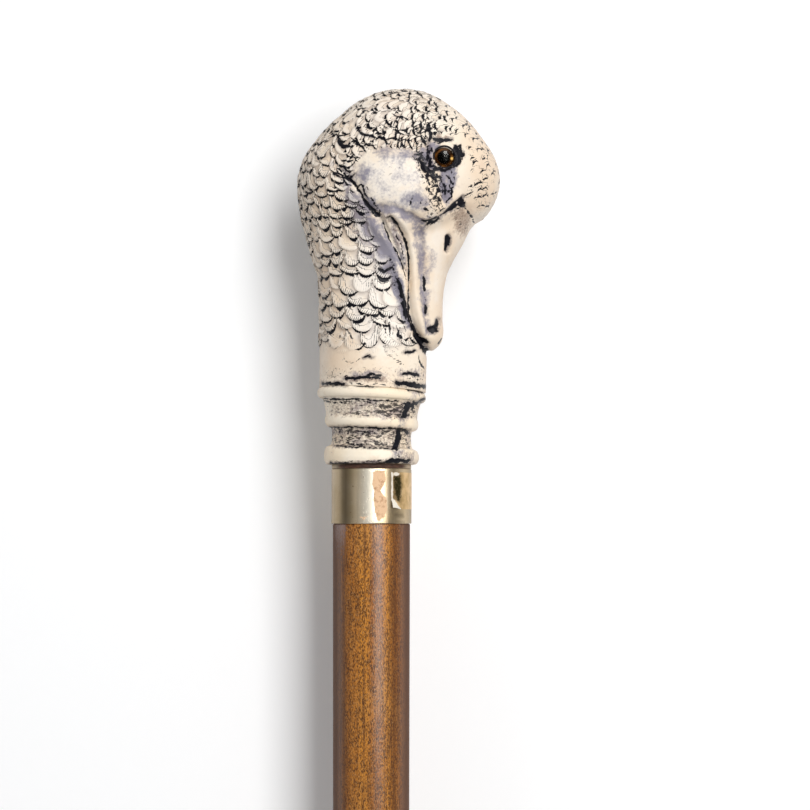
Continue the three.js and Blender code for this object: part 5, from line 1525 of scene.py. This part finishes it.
# Small pieces that keep their shape from the CAD: stud, insert, disc and ribbed ferrule
small = {
    "zinc": (0.62, 0.62, 0.60), "zincRough": 0.34, "brass": (0.72, 0.52, 0.24), "brassRough": 0.30,
    "disc": (0.58, 0.58, 0.58), "discRough": 0.38,
    "rubber": (0.018, 0.018, 0.019), "dust": (0.055, 0.052, 0.048),
}


def makeRubber():
    material, shader, make, place = startMaterial("ferrule_rubber", Roughness=0.72)
    dust = eased(make, noiseNode(make, place, 130, 4, 0.6), 0.45, 0.75)
    feed(shader, Base_Color=mixed(make, dust, small["rubber"], small["dust"]))
    addBump(make, shader, noiseNode(make, place, 2200, 4, 0.65), 0.3, 0.0002)
    return material


def makeSteel(name, tone, finish):
    material, shader, make, place = startMaterial(name, Metallic=1.0)
    cloud = noiseNode(make, place, 500, 4, 0.6)
    darker = tuple(part * 0.6 for part in tone)
    rough = make("ShaderNodeMapRange", {"Value": cloud, "From Min": 0.3, "From Max": 0.7,
                                        "To Min": finish - 0.06, "To Max": finish + 0.1})
    feed(shader, Base_Color=mixed(make, eased(make, cloud, 0.4, 0.7), tone, darker),
         Roughness=rough.outputs["Result"])
    return material


def wear(node, material):
    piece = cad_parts[node]
    piece.data.materials.clear()
    piece.data.materials.append(material)


wear("handle_stud", makeSteel("zinc_steel", small["zinc"], small["zincRough"]))
wear("shaft_insert", makeSteel("insert_brass", small["brass"], small["brassRough"]))
wear("ferrule_disc", makeSteel("disc_steel", small["disc"], small["discRough"]))
wear("ferrule", makeRubber())
print("small pieces dressed")

# Stage: a pale floor, a pale backdrop close behind the stick, a tall key lamp to the right of the camera and
# a weaker, wider one to its left. The camera sees the paper brighter than the stick does
stage = {
    "backdropY": 0.0245, "reach": 3,
    "paperTone": 0.72, "cameraTone": (1.02 * 0.985, 1.02 * 0.995, 1.02 * 1.01),
    "world": 0.33, "worldTone": (0.99, 0.995, 1.0), "lampDistance": 0.90, "lampHeight": 0.86,
    "key": {"azimuth": 24, "rise": 17, "wide": 0.40, "tall": 1.05, "power": 8.3,
            "colour": (1.0, 0.990, 0.975)},
    "fill": {"azimuth": -62, "rise": 10, "wide": 0.60, "tall": 0.90, "power": 1.1,
             "colour": (1.0, 0.995, 0.985)},
}


def makePaper():
    material, _, make, place = startMaterial("paper")
    tone, shade = stage["paperTone"], stage["paperTone"] * 0.99
    colour = mixed(make, noiseNode(make, place, 4, 2), (tone, tone, tone), (shade, shade, shade))
    rays = make("ShaderNodeLightPath").outputs
    seen = combined(make, "MAXIMUM", rays["Is Camera Ray"], rays["Is Glossy Ray"])
    seen = combined(make, "MAXIMUM", seen, rays["Is Transmission Ray"])
    paper = make("ShaderNodeBsdfDiffuse", {"Color": mixed(make, seen, colour, stage["cameraTone"])})
    clear = make("ShaderNodeBsdfTransparent")
    behind = make("ShaderNodeNewGeometry").outputs["Backfacing"]
    blend = make("ShaderNodeMixShader", {0: behind, 1: paper.outputs[0], 2: clear.outputs[0]})
    feed(material.node_tree.nodes["Material Output"], Surface=blend.outputs[0])
    return material


def makeSheet(name, corners, material):
    shape = bmesh.new()
    shape.faces.new([shape.verts.new(corner) for corner in corners])
    mesh = bpy.data.meshes.new(name)
    shape.to_mesh(mesh)
    shape.free()
    mesh.materials.append(material)
    sheet = bpy.data.objects.new(name, mesh)
    bpy.context.scene.collection.objects.link(sheet)


paper = makePaper()
back, end = stage["backdropY"], stage["reach"]
makeSheet("backdrop", [(-end, back, end), (-end, back, 0), (end, back, 0), (end, back, end)], paper)
makeSheet("floor", [(-end, -end, 0), (end, -end, 0), (end, end, 0), (-end, end, 0)], paper)


def addLamp(name):
    lamp = stage[name]
    data = bpy.data.lights.new(name, "AREA")
    data.shape, data.size, data.size_y = "RECTANGLE", lamp["wide"], lamp["tall"]
    data.energy, data.color = lamp["power"], lamp["colour"]
    holder = bpy.data.objects.new(name, data)
    bpy.context.scene.collection.objects.link(holder)
    turn, lift = math.radians(lamp["azimuth"]), math.radians(lamp["rise"])
    direction = Vector((math.sin(turn) * math.cos(lift), -math.cos(turn) * math.cos(lift), math.sin(lift)))
    holder.location = Vector((0, 0, stage["lampHeight"])) + direction * stage["lampDistance"]
    holder.rotation_euler = direction.to_track_quat("Z", "Y").to_euler()
    return holder


addLamp("key")
addLamp("fill").visible_glossy = False  # it lifts the shade and leaves no gleam on the varnish
world = bpy.data.worlds.new("studio")
bpy.context.scene.world = world
world.use_nodes = True
sky = world.node_tree.nodes["Background"]
sky.inputs["Color"].default_value = (*stage["worldTone"], 1)
sky.inputs["Strength"].default_value = stage["world"]

print("stage set")
